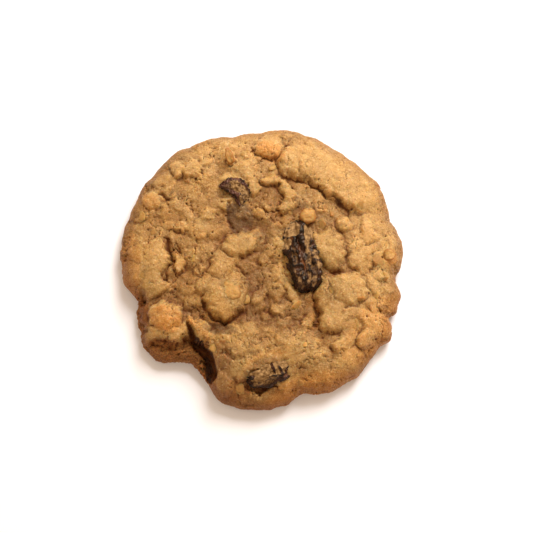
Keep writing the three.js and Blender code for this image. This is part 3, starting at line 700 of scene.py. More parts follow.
def dough_faces(top_count):
    """Triangles of the top, the side wall and the underside."""
    faces = ring_faces(TOP_RINGS)
    around = 6 * TOP_RINGS
    above = top_count - around
    below = top_count
    for _ in range(SIDE_STEPS + len(TRAY_SHARES)):
        for i in range(around):
            j = (i + 1) % around
            faces.append((above + i, below + i, below + j))
            faces.append((above + i, below + j, above + j))
        above, below = below, below + around
    for i in range(around):
        faces.append((above + i, below, above + (i + 1) % around))
    return np.array(faces)


def crumb(points, on_lump, settings):
    """How far the dough's skin stands out or in: grains, short cracks and pores, fewer of them on lumps."""
    broad = cloud(points, *CRUMB_BROAD)
    grain = cloud(points, *CRUMB_GRAIN)
    seam = np.abs(cloud(points, *CRACK_LINES))
    open_here = smooth_step(cloud(points, *CRACK_PLACES), 0.0, 0.3)
    pore = cell_distance(points, PORE_SPACING, PORE_OFFSET)
    ground = 1 - on_lump
    relief = 0.2 * broad * (0.6 + 0.4 * ground) + 0.2 * grain * (0.6 + 0.4 * ground)
    crack = (1 - smooth_step(seam, 0.0, 0.07)) * open_here * (0.7 + 0.3 * ground)
    pit = (1 - smooth_step(pore, *PORE_RADIUS)) * (0.25 + 0.75 * ground)
    return settings.crumb / MM * relief - settings.cracks / MM * crack - settings.pores / MM * pit


def local_height(points, top_count):
    """How far top points stand over the average height around them, in millimetres."""
    size = int(2 * LIFT_HALF / LIFT_CELL)
    x, y, z = points[:top_count].T
    u, v = (x + LIFT_HALF) / LIFT_CELL, (y + LIFT_HALF) / LIFT_CELL
    index = np.clip(u.astype(int), 0, size - 1) * size + np.clip(v.astype(int), 0, size - 1)
    total = np.bincount(index, z, size * size).reshape(size, size)
    count = np.bincount(index, minlength=size * size).reshape(size, size).astype(float)
    reach = int(3 * LIFT_BLUR / LIFT_CELL)
    kernel = np.exp(-0.5 * (np.arange(-reach, reach + 1) * LIFT_CELL / LIFT_BLUR) ** 2)
    for axis in (0, 1):
        total = np.apply_along_axis(np.convolve, axis, total, kernel, "same")
        count = np.apply_along_axis(np.convolve, axis, count, kernel, "same")
    average = (total / np.maximum(count, 1e-6)).ravel()
    height = np.zeros(len(points))
    height[:top_count] = z - average[index]
    return height


def scatter_share(x, y, z, out):
    """Where small flakes lie: on the top, away from the raisins and thinning out to the rim."""
    share = smooth_step(z, 4.0, 6.0) * (1 - smooth_step(out, 0.88, 0.95)) * (crack_depth(x, y) < 0.2)
    for _, centre, half, _, turn, _ in RAISINS:
        round_raisin = (*centre[:2], half[0] + SCATTER_CLEAR, half[1] + SCATTER_CLEAR, turn)
        inside, _ = inside_ellipse(round_raisin, x, y)
        share = np.where(inside > 0, 0, share)
    return share * (1 - np.minimum(patches(SHADED_AND_BROWNED, x, y), 1))


def relief_marks(points, faces, top_count):
    """Where the dough stands high, and how deep its wider hollows and narrow seams are, which the colour
    paints as shade.
    """
    normals = vertex_normals(points, faces)
    soft = np.stack([blurred(points[:, i], faces, len(points), SEAM_ROUNDS) for i in range(3)], 1)
    softer = np.stack([blurred(soft[:, i], faces, len(points), HOLLOW_ROUNDS) for i in range(3)], 1)
    lift = smooth_step(local_height(points, top_count), -0.9, 1.3)
    hollow_shade = np.einsum("ij,ij->i", softer - points, normals)
    seam = np.einsum("ij,ij->i", soft - points, normals)
    return ("lift", lift), ("hollow_shade", hollow_shade), ("seam", seam)


def place_marks(x, y, z, height):
    """Where the dough is browned, painted lighter or darker by light and shade, pale, stained, toasted or
    torn, and where small flakes lie on it.
    """
    out = np.hypot(x, y) / rim_radius(np.arctan2(y, x))
    above = smooth_step(z, 0.0, 1.0)
    # Painted shade: the low wall near the rim on the front and left, away from the lamp, is browned and
    # painted darker, the listed places are painted as shade, and the underside is browned
    front = smooth_step(-y, -6, 14) * (0.5 + 0.5 * smooth_step(-x, -14, 4))
    brown_and_shade = (1 - smooth_step(height, 1.0, 8.0)) * smooth_step(out, 0.6, 1.0) * front
    brown_and_shade = np.maximum(brown_and_shade, patches(SHADED_AND_BROWNED, x, y) * above)
    brown_and_shade = np.maximum(brown_and_shade, UNDERSIDE_BROWN * (1 - above))
    # Painted light: an outer band on the lamp's side, to the right and back, is painted paler; the listed
    # paler places are added to it
    lit = smooth_step(0.8 * x + 0.6 * y, -16, 14)
    painted_light_and_pale = smooth_step(out, 0.45, 0.75) * (1 - 0.6 * smooth_step(out, 0.85, 1.0)) * lit
    painted_light_and_pale = np.minimum(painted_light_and_pale + patches(PALER, x, y), 1)
    # Painted shade: the deep crevice is painted dark
    deep = np.clip(crack_depth(x, y) / CRACK_SHADE_DEPTH, 0, 1) * smooth_step(y, *CRACK_SHADE_FROM)
    return (
        ("brown_and_shade", brown_and_shade), ("painted_light_and_pale", painted_light_and_pale * above), ("stain_and_shade", patches(STAINS_AND_SHADE, x, y) * above),
        ("toast", patches(TOASTED, x, y) * above), ("deep", deep * above),
        ("raw", shelf_share(x, y) * above), ("scatter", scatter_share(x, y, height, out)),
    )


def build_dough(settings):
    """The baked dough with its crumb, and what its colours follow at each place."""
    top, on_lump = top_points(settings)
    plain = np.concatenate([top, lower_points(top)])
    on_lump = np.concatenate([on_lump, np.zeros(len(plain) - len(top))])
    faces = dough_faces(len(top))
    plain[:, 2] = np.where(plain[:, 2] > 0, blurred(plain[:, 2], faces, len(plain), 1), 0)
    x, y, z = plain.T
    torn = 1 + (1.2 + 1.2 * smooth_step(z, 1.5, 4.0)) * shelf_share(x, y)
    skin = (0.12 + 0.88 * smooth_step(z, 0.0, 1.2)) * torn
    points = plain + vertex_normals(plain, faces) * (crumb(plain, on_lump, settings) * skin)[:, None]
    points[:, 2] = np.maximum(points[:, 2], 0)
    attributes = relief_marks(points, faces, len(top)) + place_marks(x, y, z, points[:, 2])
    return mesh_object("dough", points + origin_shift(), faces, attributes)


# Raisins
def raisin_ball():
    """Points of a ball in rings along its y axis, and its triangles."""
    around, along = RAISIN_AROUND, RAISIN_ALONG
    phi = np.arange(around) * 2 * math.pi / around
    rings = []
    for row in np.arange(1, along) * math.pi / along:
        wide = math.sin(row)
        rings.append(np.stack([np.cos(phi) * wide, np.full(around, math.cos(row)), np.sin(phi) * wide], 1))
    ball = np.concatenate([[[0, 1, 0]], *rings, [[0, -1, 0]]])

    faces = [(0, 1 + i, 1 + (i + 1) % around) for i in range(around)]
    for row in range(along - 2):
        a, b = 1 + row * around, 1 + (row + 1) * around
        for i in range(around):
            j = (i + 1) % around
            faces.extend([(a + i, b + i, b + j), (a + i, b + j, a + j)])
    last = len(ball) - 1
    faces.extend([(last, last - around + (i + 1) % around, last - around + i) for i in range(around)])
    return ball, np.array(faces)


def raisin_form(half, bend):
    """A boxy, wrinkled raisin about its own middle: points, their angles round it, and triangles."""
    ball, faces = raisin_ball()
    ux, uy, uz = ball.T
    girth = 1 + RAISIN_TAPER * uy
    angle = np.arctan2(uz, ux)
    for folds, deep, wind, start in RAISIN_WRINKLES:
        girth += deep * np.hypot(ux, uz) * np.sin(folds * angle + wind * np.sin(3 * uy) + start)
    boxy = (np.abs(ball) ** RAISIN_BOXINESS).sum(1) ** (-1 / RAISIN_BOXINESS)
    sideways = bend * (1 - 2 * uy**2) - ux * half[1] * girth * boxy
    return np.stack([uy * half[0] * boxy, sideways, uz * half[2] * girth * boxy], 1), angle, faces


def raisin_crest(name, points, angle, half_width, offset):
    """How high each place of a raisin's skin stands in its folds, from 0 to 1."""
    stretched = points * FOLD_STRETCH
    wander = 2.0 * cloud(stretched, 2.4, 2, offset) + 0.6 * cloud(points, 1.1, 2, offset + 10)
    crest = np.abs(np.sin(FOLDS[name] / 2 * angle + wander)) ** 0.8
    crumpled = 1 - 2.4 * np.abs(cloud(points, 0.55 * half_width, 3, offset + 20))
    crimped = 1 - 2.4 * np.abs(cloud(points, 0.26 * half_width, 2, offset + 60))
    return np.clip(0.55 * crest + 0.4 * crumpled + 0.3 * crimped - 0.2, 0, 1)


def raisin_film(name, placed, crest, ragged):
    """How thickly dough lies on a raisin's skin, from 0 to about 1."""
    film = np.zeros(len(placed))
    for *shape, strength in FILMS[name]:
        inside, _ = inside_ellipse(shape, placed[:, 0], placed[:, 1])
        full = abs(strength) * np.minimum(2.0 * inside, 1)
        if strength > 0:
            film = np.maximum(film, full)
        else:
            film *= 1 - smooth_step(full, 0.0, 0.6)
    return np.clip(film * (1 + 0.8 * (crest - 0.6) + 0.7 * ragged), 0, 1.2)


def build_raisin(name, centre, half, bend, turn, tilt, settings):
    """A shrivelled raisin in its place, with films of dough on it."""
    points, angle, faces = raisin_form(half, bend)
    to_place = (rotation(2, turn) @ rotation(0, tilt)).T
    offset = 7.7 * len(name) + 3.1
    crest = raisin_crest(name, points, angle, half[1], offset)
    dents = cloud(points, 3.4, 2, offset + 30)
    placed = points @ to_place + np.array(centre)
    ragged = 0.35 * cloud(points * FOLD_STRETCH, 0.8, 3, offset + 40)
    ragged += 0.25 * cloud(placed, 0.7, 3, offset + 50)
    film = raisin_film(name, placed, crest, ragged)
    film *= smooth_step(placed[:, 2] - centre[2], -0.8 * half[2], -0.3 * half[2])
    amber = patches(AMBER[name], placed[:, 0], placed[:, 1])
    dusty = DUSTY[name] * smooth_step(crest, 0.0, 0.5)
    coat = smooth_step(film, 0.4, 0.7)
    folds = settings.wrinkle / MM * ((crest - 0.6) * (1 - 0.4 * coat) + 0.6 * dents)
    points = points + vertex_normals(points, faces) * (folds + FILM_THICK * coat)[:, None]
    placed = points @ to_place + np.array(centre) + origin_shift()
    attributes = (("crest", crest), ("film", film), ("amber", amber), ("dusty", dusty))
    return mesh_object(name.replace("raisin", "skin"), placed, faces, attributes)


# Oat flakes
def flake_faces(side, first):
    """Triangles of one side of a disc of rings, turned over for the side below."""
    around = SHOWN_AROUND
    faces = []
    for i in range(around):
        j = (i + 1) % around
        fan = [(0, 1 + i, 1 + j)]
        for ring in range(SHOWN_RINGS - 1):
            a, b = 1 + ring * around, 1 + (ring + 1) * around
            fan += [(a + i, b + i, b + j), (a + i, b + j, a + j)]
        faces += [tuple(first + k for k in face[::side]) for face in fan]
    return faces


def build_shown_flakes(dough):
    """The whole flakes that show, each a thin curved disc lying on the dough."""
    surface = np.empty(3 * len(dough.data.vertices))
    dough.data.vertices.foreach_get("co", surface)
    surface = surface.reshape(-1, 3) / MM
    share = np.repeat(np.arange(1, SHOWN_RINGS + 1) / SHOWN_RINGS, SHOWN_AROUND)
    theta = np.tile(np.arange(SHOWN_AROUND) * 2 * math.pi / SHOWN_AROUND, SHOWN_RINGS)
    out = np.append(0, share)
    points, faces = [], []
    for x, y, long, wide, turn, lean, over, plump in SHOWN_FLAKES:
        centre = np.array([x, y, 0]) + origin_shift()
        near = np.hypot(surface[:, 0] - centre[0], surface[:, 1] - centre[1]) < wide
        centre[2] = np.percentile(surface[near, 2], 80) + over
        edge = 1 + (1 - 0.7 * plump) * (0.07 * np.sin(3 * theta + x) + 0.05 * np.sin(5 * theta + y))
        u = np.append(0, share * np.cos(theta) * edge)
        v = np.append(0, share * np.sin(theta) * edge)
        thick = (0.45 + 0.9 * plump) * np.sqrt(np.maximum(1 - out**2.3, 0))
        bow = (1 - plump) * (0.5 * v**2 - 0.35 * u**2 - 0.12 * np.exp(-((v / 0.18) ** 2)))
        to_place = (rotation(2, turn) @ rotation(1, lean)).T
        for side in (1, -1):
            faces += flake_faces(side, sum(len(p) for p in points))
            points.append(np.stack([u * long, v * wide, bow + side * thick], 1) @ to_place + centre)
    points = np.concatenate(points)
    faces = np.array(faces)
    points = points + vertex_normals(points, faces) * (0.25 * cloud(points, 1.3, 3, 55.0))[:, None]
    tone = 0.7 - 0.9 * smooth_step(np.tile(out, 2 * len(SHOWN_FLAKES)), 0.6, 1.0)
    return mesh_object("shown_flakes", points, faces, (("tone", tone),))


def scatter_tree(material):
    """Geometry nodes that scatter thin flakes, half sunk and each at its own slant, over a surface."""
    tree = bpy.data.node_groups.new("oat_scatter", "GeometryNodeTree")
    tree.interface.new_socket("Surface", in_out="INPUT", socket_type="NodeSocketGeometry")
    for name, kind in (("Density", "Float"), ("Size", "Float"), ("Seed", "Int")):
        tree.interface.new_socket(name, in_out="INPUT", socket_type="NodeSocket" + kind)
    tree.interface.new_socket("Flakes", in_out="OUTPUT", socket_type="NodeSocketGeometry")
    given = tree.nodes.new("NodeGroupInput").outputs
    share = add(tree, "GeometryNodeInputNamedAttribute", {"Name": "scatter"}, data_type="FLOAT")
    density = times(tree, given["Density"], share.outputs["Attribute"])
    spread = add(tree, "GeometryNodeDistributePointsOnFaces", {
        "Mesh": given["Surface"], "Density": density, "Seed": given["Seed"]}, distribute_method="RANDOM")
    ball = add(tree, "GeometryNodeMeshIcoSphere", {"Radius": SCATTER_BALL, "Subdivisions": SCATTER_FINENESS})
    bumpy = add(tree, "ShaderNodeTexNoise", {"Scale": SCATTER_BUMPS, "Detail": 1.0}, noise_dimensions="3D")
    centred = vector_math(tree, "SUBTRACT", bumpy.outputs["Color"], (0.5, 0.5, 0.5))
    lumpy = add(tree, "GeometryNodeSetPosition", {
        "Geometry": ball.outputs["Mesh"], "Offset": scaled(tree, centred, SCATTER_PUSH)})
    flat = add(tree, "GeometryNodeTransform", {
        "Geometry": lumpy.outputs["Geometry"], "Translation": SCATTER_SINK, "Scale": SCATTER_FLAT})

    def random_vector(ends, salt):
        seed = math_node(tree, "ADD", given["Seed"], salt)
        node = add(tree, "FunctionNodeRandomValue", data_type="FLOAT_VECTOR")
        node.inputs[0].default_value, node.inputs[1].default_value = ends
        tree.links.new(seed, node.inputs["Seed"])
        return node.outputs[0]

    slant = add(tree, "FunctionNodeEulerToRotation", {0: random_vector(SCATTER_SLANTS, 5)})
    turned = add(tree, "FunctionNodeRotateRotation", {
        "Rotation": spread.outputs["Rotation"], "Rotate By": slant.outputs[0]}, rotation_space="LOCAL")
    laid = add(tree, "GeometryNodeInstanceOnPoints", {
        "Points": spread.outputs["Points"], "Instance": flat.outputs["Geometry"],
        "Rotation": turned.outputs["Rotation"],
        "Scale": scaled(tree, random_vector(SCATTER_SIZES, 9), given["Size"])})
    tone = add(tree, "FunctionNodeRandomValue", data_type="FLOAT")
    tinted = add(tree, "GeometryNodeStoreNamedAttribute", {
        "Geometry": laid.outputs["Instances"], "Name": "tone"}, data_type="FLOAT", domain="INSTANCE")
    tree.links.new(tone.outputs[1], tinted.inputs["Value"])
    real = add(tree, "GeometryNodeRealizeInstances", {"Geometry": tinted.outputs["Geometry"]})
    done = add(tree, "GeometryNodeSetMaterial", {"Geometry": real.outputs["Geometry"], "Material": material})
    tree.links.new(done.outputs["Geometry"], tree.nodes.new("NodeGroupOutput").inputs["Flakes"])
    return tree


def scatter_flakes(dough, settings, material):
    """Small flakes scattered over the dough, made plain."""
    piece = bpy.data.objects.new("oat_flakes", dough.data.copy())
    bpy.context.scene.collection.objects.link(piece)
    scatter = piece.modifiers.new("scatter", "NODES")
    scatter.node_group = scatter_tree(material)
    values = {"Density": settings.density, "Size": settings.size, "Seed": settings.seed}
    for item in scatter.node_group.interface.items_tree:
        if item.name in values:
            scatter[item.identifier] = values[item.name]
    piece.update_tag()
    graph = bpy.context.evaluated_depsgraph_get()
    graph.update()
    plain = bpy.data.meshes.new_from_object(piece.evaluated_get(graph), depsgraph=graph)
    if not len(plain.polygons):
        raise RuntimeError("the scatter made no flakes")
    piece.modifiers.remove(scatter)
    piece.data = plain
    return piece


# Node tree helpers
def add(tree, kind, inputs=(), **options):
    """A node with its options set, and its inputs linked to sockets or set to values."""
    node = tree.nodes.new(kind)
    for key, value in options.items():
        setattr(node, key, value)
    for key, value in dict(inputs).items():
        socket = node.inputs[key]
        if isinstance(value, bpy.types.NodeSocket):
            tree.links.new(value, socket)
        else:
            socket.default_value = value
    return node


def srgb(red, green, blue):
    """A shader colour from 0-255 screen values under a bright light."""
    def linear(value):
        c = value / 255
        return (c / 12.92 if c <= 0.04045 else ((c + 0.055) / 1.055) ** 2.4) / BRIGHT

    return (linear(red), linear(green), linear(blue), 1)


def mix(tree, factor, a, b, blend="MIX"):
    """One colour mixed into another."""
    return add(tree, "ShaderNodeMix", {0: factor, 6: a, 7: b}, data_type="RGBA", blend_type=blend).outputs[2]


def remap(tree, value, low, high, to_low=0.0, to_high=1.0):
    """A value's place between two ends, as a value between two others."""
    inputs = {"Value": value, "From Min": low, "From Max": high, "To Min": to_low, "To Max": to_high}
    return add(tree, "ShaderNodeMapRange", inputs).outputs["Result"]


def math_node(tree, operation, a, b):
    """Two values added, multiplied or compared."""
    return add(tree, "ShaderNodeMath", {0: a, 1: b}, operation=operation).outputs[0]


def times(tree, a, b):
    """Two values multiplied."""
    return math_node(tree, "MULTIPLY", a, b)


def vector_math(tree, operation, a, b):
    """Two vectors added, subtracted or multiplied."""
    return add(tree, "ShaderNodeVectorMath", {0: a, 1: b}, operation=operation).outputs["Vector"]


def scaled(tree, vector, by):
    """A vector made longer or shorter."""
    return add(tree, "ShaderNodeVectorMath", {0: vector, "Scale": by}, operation="SCALE").outputs["Vector"]


def attribute(tree, name):
    """What a mesh's points say under a name."""
    return add(tree, "ShaderNodeAttribute", attribute_name=name).outputs["Fac"]


def millimetres(tree):
    """Object coordinates in millimetres."""
    return scaled(tree, add(tree, "ShaderNodeTexCoord").outputs["Object"], 1 / MM)


def speckle(tree, place, size, detail=3.0, rough=0.55):
    """Noise about 0 to 1 with spots of a size in millimetres."""
    inputs = {"Vector": place, "Scale": 1 / size, "Detail": detail, "Roughness": rough}
    return add(tree, "ShaderNodeTexNoise", inputs).outputs["Fac"]


def voronoi(tree, place, scale, output, feature="F1"):
    """One output of scattered cells, so many to a millimetre."""
    cells = add(tree, "ShaderNodeTexVoronoi", {"Vector": place, "Scale": scale}, feature=feature)
    return cells.outputs[output]


def tint(tree, colour, value, low, high, share, shade):
    """A colour turned by up to a share to another, as a value goes from low to high."""
    return mix(tree, remap(tree, value, low, high, 0.0, share), colour, shade)


def vary(tree, colour, value, dark, bright, share=1.0):
    """A colour multiplied by one between two others, as a value goes from 0 to 1."""
    return mix(tree, share, colour, mix(tree, value, (*dark, 1), (*bright, 1)), "MULTIPLY")


# Materials
def new_material(name, values):
    """A material with values set on its shader's sockets, with its node tree and its shader."""
    material = bpy.data.materials.new(name)
    material.use_nodes = True
    shader = material.node_tree.nodes["Principled BSDF"]
    for socket, value in values.items():
        shader.inputs[socket].default_value = value
    return material, material.node_tree, shader


def crackle(tree, place):
    """Short thin cracks between crumbs, open in patches only: 1 in a crack."""
    drift = add(tree, "ShaderNodeTexNoise", {"Vector": place, "Scale": 0.9, "Detail": 3.0}).outputs["Color"]
    drift = vector_math(tree, "SUBTRACT", drift, (0.5, 0.5, 0.5))
    drift = vector_math(tree, "MULTIPLY", drift, (CRACKLE_DRIFT,) * 3)
    warped = vector_math(tree, "ADD", place, drift)
    total = None
    for scale, thin, low, size in CRACKLES:
        edge = voronoi(tree, warped, scale, "Distance", "DISTANCE_TO_EDGE")
        open_here = remap(tree, speckle(tree, place, size, 2.0), low, low + 0.08)
        line = times(tree, remap(tree, edge, thin, thin / 4), open_here)
        total = line if total is None else math_node(tree, "MAXIMUM", total, line)
    return total


def dough_marks(tree, place):
    """What the dough's looks follow: marks on its mesh, fine spots and cracks, and how raised it is."""
    marks = {key: attribute(tree, key) for key in DOUGH_MARKS}
    marks["mottle"] = remap(tree, speckle(tree, place, 1.6, 4.0), 0.3, 0.7)
    marks["grain"] = remap(tree, speckle(tree, place, 0.32, 2.0), 0.3, 0.7)
    raised = math_node(tree, "ADD", marks["lift"], remap(tree, marks["mottle"], 0.0, 1.0, -0.2, 0.2))
    # The painted light on the lamp's side also counts as raised, so that side is painted paler still
    marks["raised"] = math_node(tree, "ADD", raised, times(tree, marks["painted_light_and_pale"], 0.25))
    marks["cracks"] = times(tree, crackle(tree, place), remap(tree, marks["raised"], 0.5, 1.2, 1.0, 0.35))
    return marks


def dough_colour(tree, place, marks, settings):
    """The dough's colour, from broad patches down to its finest grain."""
    raised, grain = marks["raised"], marks["grain"]
    patch = remap(tree, speckle(tree, place, 8.0, 3.0), 0.35, 0.65)
    mound = mix(tree, patch, settings.mound, settings.mound_toasted)
    valley = mix(tree, patch, settings.valley, settings.valley_toasted)
    colour = mix(tree, remap(tree, raised, 0.1, 0.9), valley, mound)
    for mark, low, high, share, shade in PLACE_TINTS:
        colour = tint(tree, colour, marks[mark], low, high, share, srgb(*shade))
    colour = vary(tree, colour, marks["mottle"], (0.91, 0.89, 0.87), (1.05, 1.06, 1.08))

    waxy = remap(tree, speckle(tree, place, 5.0, 2.0), 0.5, 0.6)
    waxy = times(tree, waxy, remap(tree, raised, 0.3, 0.8))
    colour = mix(tree, times(tree, waxy, 0.3), colour, srgb(218, 170, 104))
    gritty = times(tree, remap(tree, raised, 0.2, 0.9, 1.0, 0.7), remap(tree, waxy, 0.0, 1.0, 1.0, 0.5))
    colour = mix(tree, gritty, colour, vary(tree, colour, grain, (0.68, 0.61, 0.52), (1.14, 1.2, 1.27)))
    torn = mix(tree, grain, srgb(84, 46, 18), srgb(182, 120, 56))
    colour = tint(tree, colour, marks["raw"], 0.0, 1.0, 0.7, torn)
    # Painted shade in the crevice, hollows and seams
    for mark, low, high, share, shade in RELIEF_TINTS:
        colour = tint(tree, colour, marks[mark], low, high, share, srgb(*shade))

    # Pores and hair cracks painted dark as shade in them
    for scale, wide in PORES:
        pores = voronoi(tree, place, scale, "Distance")
        colour = tint(tree, colour, pores, wide, wide / 3, 0.6, srgb(84, 46, 20))
    colour = mix(tree, times(tree, marks["cracks"], 0.65), colour, srgb(104, 54, 18))
    crumbs = voronoi(tree, place, 2.6, "Color")
    bright = add(tree, "ShaderNodeSeparateColor", {"Color": crumbs}).outputs["Red"]
    colour = vary(tree, colour, bright, (0.9, 0.88, 0.86), (1.08, 1.1, 1.13))
    # Cream specks on raised places: pale sugar grains, partly painted glints
    pale = times(tree, remap(tree, bright, 0.92, 0.96), remap(tree, raised, 0.3, 0.8, 0.05, 0.35))
    return mix(tree, pale, colour, srgb(222, 190, 138))


def dough_material(settings):
    """Baked oat dough: golden lumps, greyer hollows, a browned low wall, pores and specks, with light and
    shade painted in places.
    """
    material, tree, shader = new_material("dough_crust", {"Specular IOR Level": 0.2, **BAKED})
    place = millimetres(tree)
    marks = dough_marks(tree, place)
    colour = dough_colour(tree, place, marks, settings)

    clots = voronoi(tree, place, 1.9, "Distance")
    height = math_node(tree, "ADD", speckle(tree, place, 0.45, 4.0, 0.6), times(tree, clots, -0.3))
    height = math_node(tree, "SUBTRACT", height, marks["cracks"])
    bump = add(tree, "ShaderNodeBump", {"Strength": 0.8, "Distance": 0.22 * MM, "Height": height})
    tree.links.new(colour, shader.inputs["Base Color"])
    tree.links.new(remap(tree, marks["grain"], 0.0, 1.0, 0.75, 0.45), shader.inputs["Roughness"])
    tree.links.new(bump.outputs["Normal"], shader.inputs["Normal"])
    return material


def flake_material(settings):
    """Toasted rolled oats: pale gold with a fine grain."""
    material, tree, shader = new_material("oat_flake", {
        "Roughness": 0.6, "Specular IOR Level": 0.2, **BAKED})
    place = millimetres(tree)
    tone = attribute(tree, "tone")
    colour = mix(tree, remap(tree, tone, -0.2, 0.3), settings.edge, settings.body)
    colour = mix(tree, remap(tree, tone, 0.3, 1.0), colour, settings.middle)
    grain = remap(tree, speckle(tree, place, 0.5, 3.0), 0.3, 0.7)
    colour = vary(tree, colour, grain, (0.8, 0.77, 0.74), (1.15, 1.15, 1.15), 0.8)
    bump = add(tree, "ShaderNodeBump", {
        "Strength": 0.4, "Distance": 0.15 * MM, "Height": speckle(tree, place, 0.5, 4.0, 0.6)})
    tree.links.new(colour, shader.inputs["Base Color"])
    tree.links.new(bump.outputs["Normal"], shader.inputs["Normal"])
    return material


def raisin_material(settings):
    """Dark, half-glossy raisin skin with painted shade in its folds, amber light in thin places, and dough
    filmed over it.
    """
    material, tree, shader = new_material("raisin_skin", {
        "Specular IOR Level": 0.28, "Specular Tint": (1.0, 0.72, 0.52, 1)})
    place = millimetres(tree)
    crest, film, amber, dusty = (attribute(tree, key) for key in ("crest", "film", "amber", "dusty"))
    # Painted shade: darker deep in the folds than the skin's own colour on their crests
    colour = mix(tree, remap(tree, crest, 0.2, 0.9), settings.fold_shade, settings.skin)
    colour = mix(tree, times(tree, amber, remap(tree, crest, 0.2, 0.7)), colour, srgb(120, 64, 20))
    colour = mix(tree, dusty, colour, srgb(112, 72, 60))
    smear = remap(tree, speckle(tree, place, 0.9, 5.0, 0.65), 0.6, 0.7, 0.0, 0.6)
    torn = remap(tree, speckle(tree, place, 0.55, 5.0, 0.7), 0.25, 0.75, -0.45, 0.45)
    coat = remap(tree, math_node(tree, "ADD", film, times(tree, torn, film)), 0.35, 0.75)
    cover = math_node(tree, "MAXIMUM", times(tree, smear, crest), coat)
    mottled = remap(tree, speckle(tree, place, 0.7, 4.0), 0.35, 0.65)
    thin, thick = srgb(96, 68, 46), mix(tree, mottled, srgb(120, 86, 50), srgb(184, 142, 92))
    colour = mix(tree, remap(tree, cover, 0.05, 0.5), colour, thin)
    colour = mix(tree, remap(tree, cover, 0.4, 0.95), colour, thick)
    bump = add(tree, "ShaderNodeBump", {
        "Strength": 0.5, "Distance": 0.2 * MM, "Height": speckle(tree, place, 0.35, 4.0, 0.6)})
    tree.links.new(colour, shader.inputs["Base Color"])
    tree.links.new(remap(tree, cover, 0.0, 0.5, 0.24, 0.8), shader.inputs["Roughness"])
    tree.links.new(bump.outputs["Normal"], shader.inputs["Normal"])
    return material


# Stage
def lay_table(settings):
    """A wide white table at the cookie's underside."""
    corners = np.array([(-1, -1, 0), (1, -1, 0), (1, 1, 0), (-1, 1, 0)])
    floor = mesh_object("table", corners * settings.table_half / MM, [(0, 1, 2, 3)])
    white, _, _ = new_material("table_white", {
        "Base Color": settings.table, "Roughness": 0.8,
        "Emission Color": (1.0, 1.0, 1.0, 1), "Emission Strength": settings.glow})
    floor.data.materials.append(white)
    return floor


def light_scene(scene, settings):
    """Warm surroundings and one cool lamp behind the right shoulder of the cookie."""
    world = bpy.data.worlds.new("surroundings")
    world.use_nodes = True
    background = world.node_tree.nodes["Background"]
    background.inputs["Color"].default_value = settings.fill_colour
    background.inputs["Strength"].default_value = settings.fill
    scene.world = world

    lamp = bpy.data.lights.new("key", "AREA")
    lamp.size = settings.key_size
    lamp.energy = settings.key
    lamp.color = settings.key_colour
    key = bpy.data.objects.new("key", lamp)
    key.location = settings.key_place
    key.rotation_mode = "QUATERNION"
    key.rotation_quaternion = key.location.to_track_quat("Z", "Y")
    scene.collection.objects.link(key)


def place_camera(scene, settings):
    """A camera that sees a given width at the point that it aims at."""
    lens = bpy.data.cameras.new("camera")
    lens.lens = settings.lens
    lens.clip_start = 0.01
    camera = bpy.data.objects.new("camera", lens)
    distance = settings.lens * settings.field / lens.sensor_width
    back = Vector((0, -math.cos(settings.elevation), math.sin(settings.elevation)))
    camera.location = Vector(settings.aim) + back * distance
    camera.rotation_mode = "QUATERNION"
    camera.rotation_quaternion = back.to_track_quat("Z", "Y")
    scene.collection.objects.link(camera)
    scene.camera = camera


# Add-on properties
class DoughSettings(PropertyGroup):
    """Sizes and colours of the dough"""
    seed: IntProperty(name="Seed", description="Seed of the small clods", default=7, min=0)
    clods: FloatProperty(
        name="Clods", description="Height of the small clods",
        default=0.00035, subtype="DISTANCE", unit="LENGTH")
    warp: FloatProperty(
        name="Warp", description="How far lump edges wander",
        default=0.0011, subtype="DISTANCE", unit="LENGTH")
    swell: FloatProperty(
        name="Swell", description="Unevenness between lumps",
        default=0.001, subtype="DISTANCE", unit="LENGTH")
    crumb: FloatProperty(
        name="Crumb", description="Depth of the crumbly skin",
        default=0.00055, subtype="DISTANCE", unit="LENGTH")
    cracks: FloatProperty(
        name="Cracks", description="Depth of the fine cracks",
        default=0.0006, subtype="DISTANCE", unit="LENGTH")
    pores: FloatProperty(
        name="Pores", description="Depth of the open pores",
        default=0.0006, subtype="DISTANCE", unit="LENGTH")
    mound: FloatVectorProperty(
        name="Mound", description="Colour of the lumps",
        default=srgb(196, 154, 92), size=4, min=0, max=1, subtype="COLOR")
    mound_toasted: FloatVectorProperty(
        name="Toasted Mound", description="Colour of the lumps in warmer patches",
        default=srgb(200, 151, 83), size=4, min=0, max=1, subtype="COLOR")
    valley: FloatVectorProperty(
        name="Valley", description="Colour between the lumps",
        default=srgb(155, 111, 63), size=4, min=0, max=1, subtype="COLOR")
    valley_toasted: FloatVectorProperty(
        name="Toasted Valley", description="Colour between the lumps in warmer patches",
        default=srgb(166, 115, 55), size=4, min=0, max=1, subtype="COLOR")


class RaisinSettings(PropertyGroup):
    """Sizes and colours of the raisins"""
    wrinkle: FloatProperty(
        name="Wrinkle", description="Depth of the skin's folds",
        default=0.0008, subtype="DISTANCE", unit="LENGTH")
    # Painted shade deep in the folds
    fold_shade: FloatVectorProperty(
        name="Fold", description="Colour deep in the folds",
        default=srgb(14, 6, 4), size=4, min=0, max=1, subtype="COLOR")
    skin: FloatVectorProperty(
        name="Skin", description="Colour on the crests of the folds",
        default=srgb(74, 40, 24), size=4, min=0, max=1, subtype="COLOR")


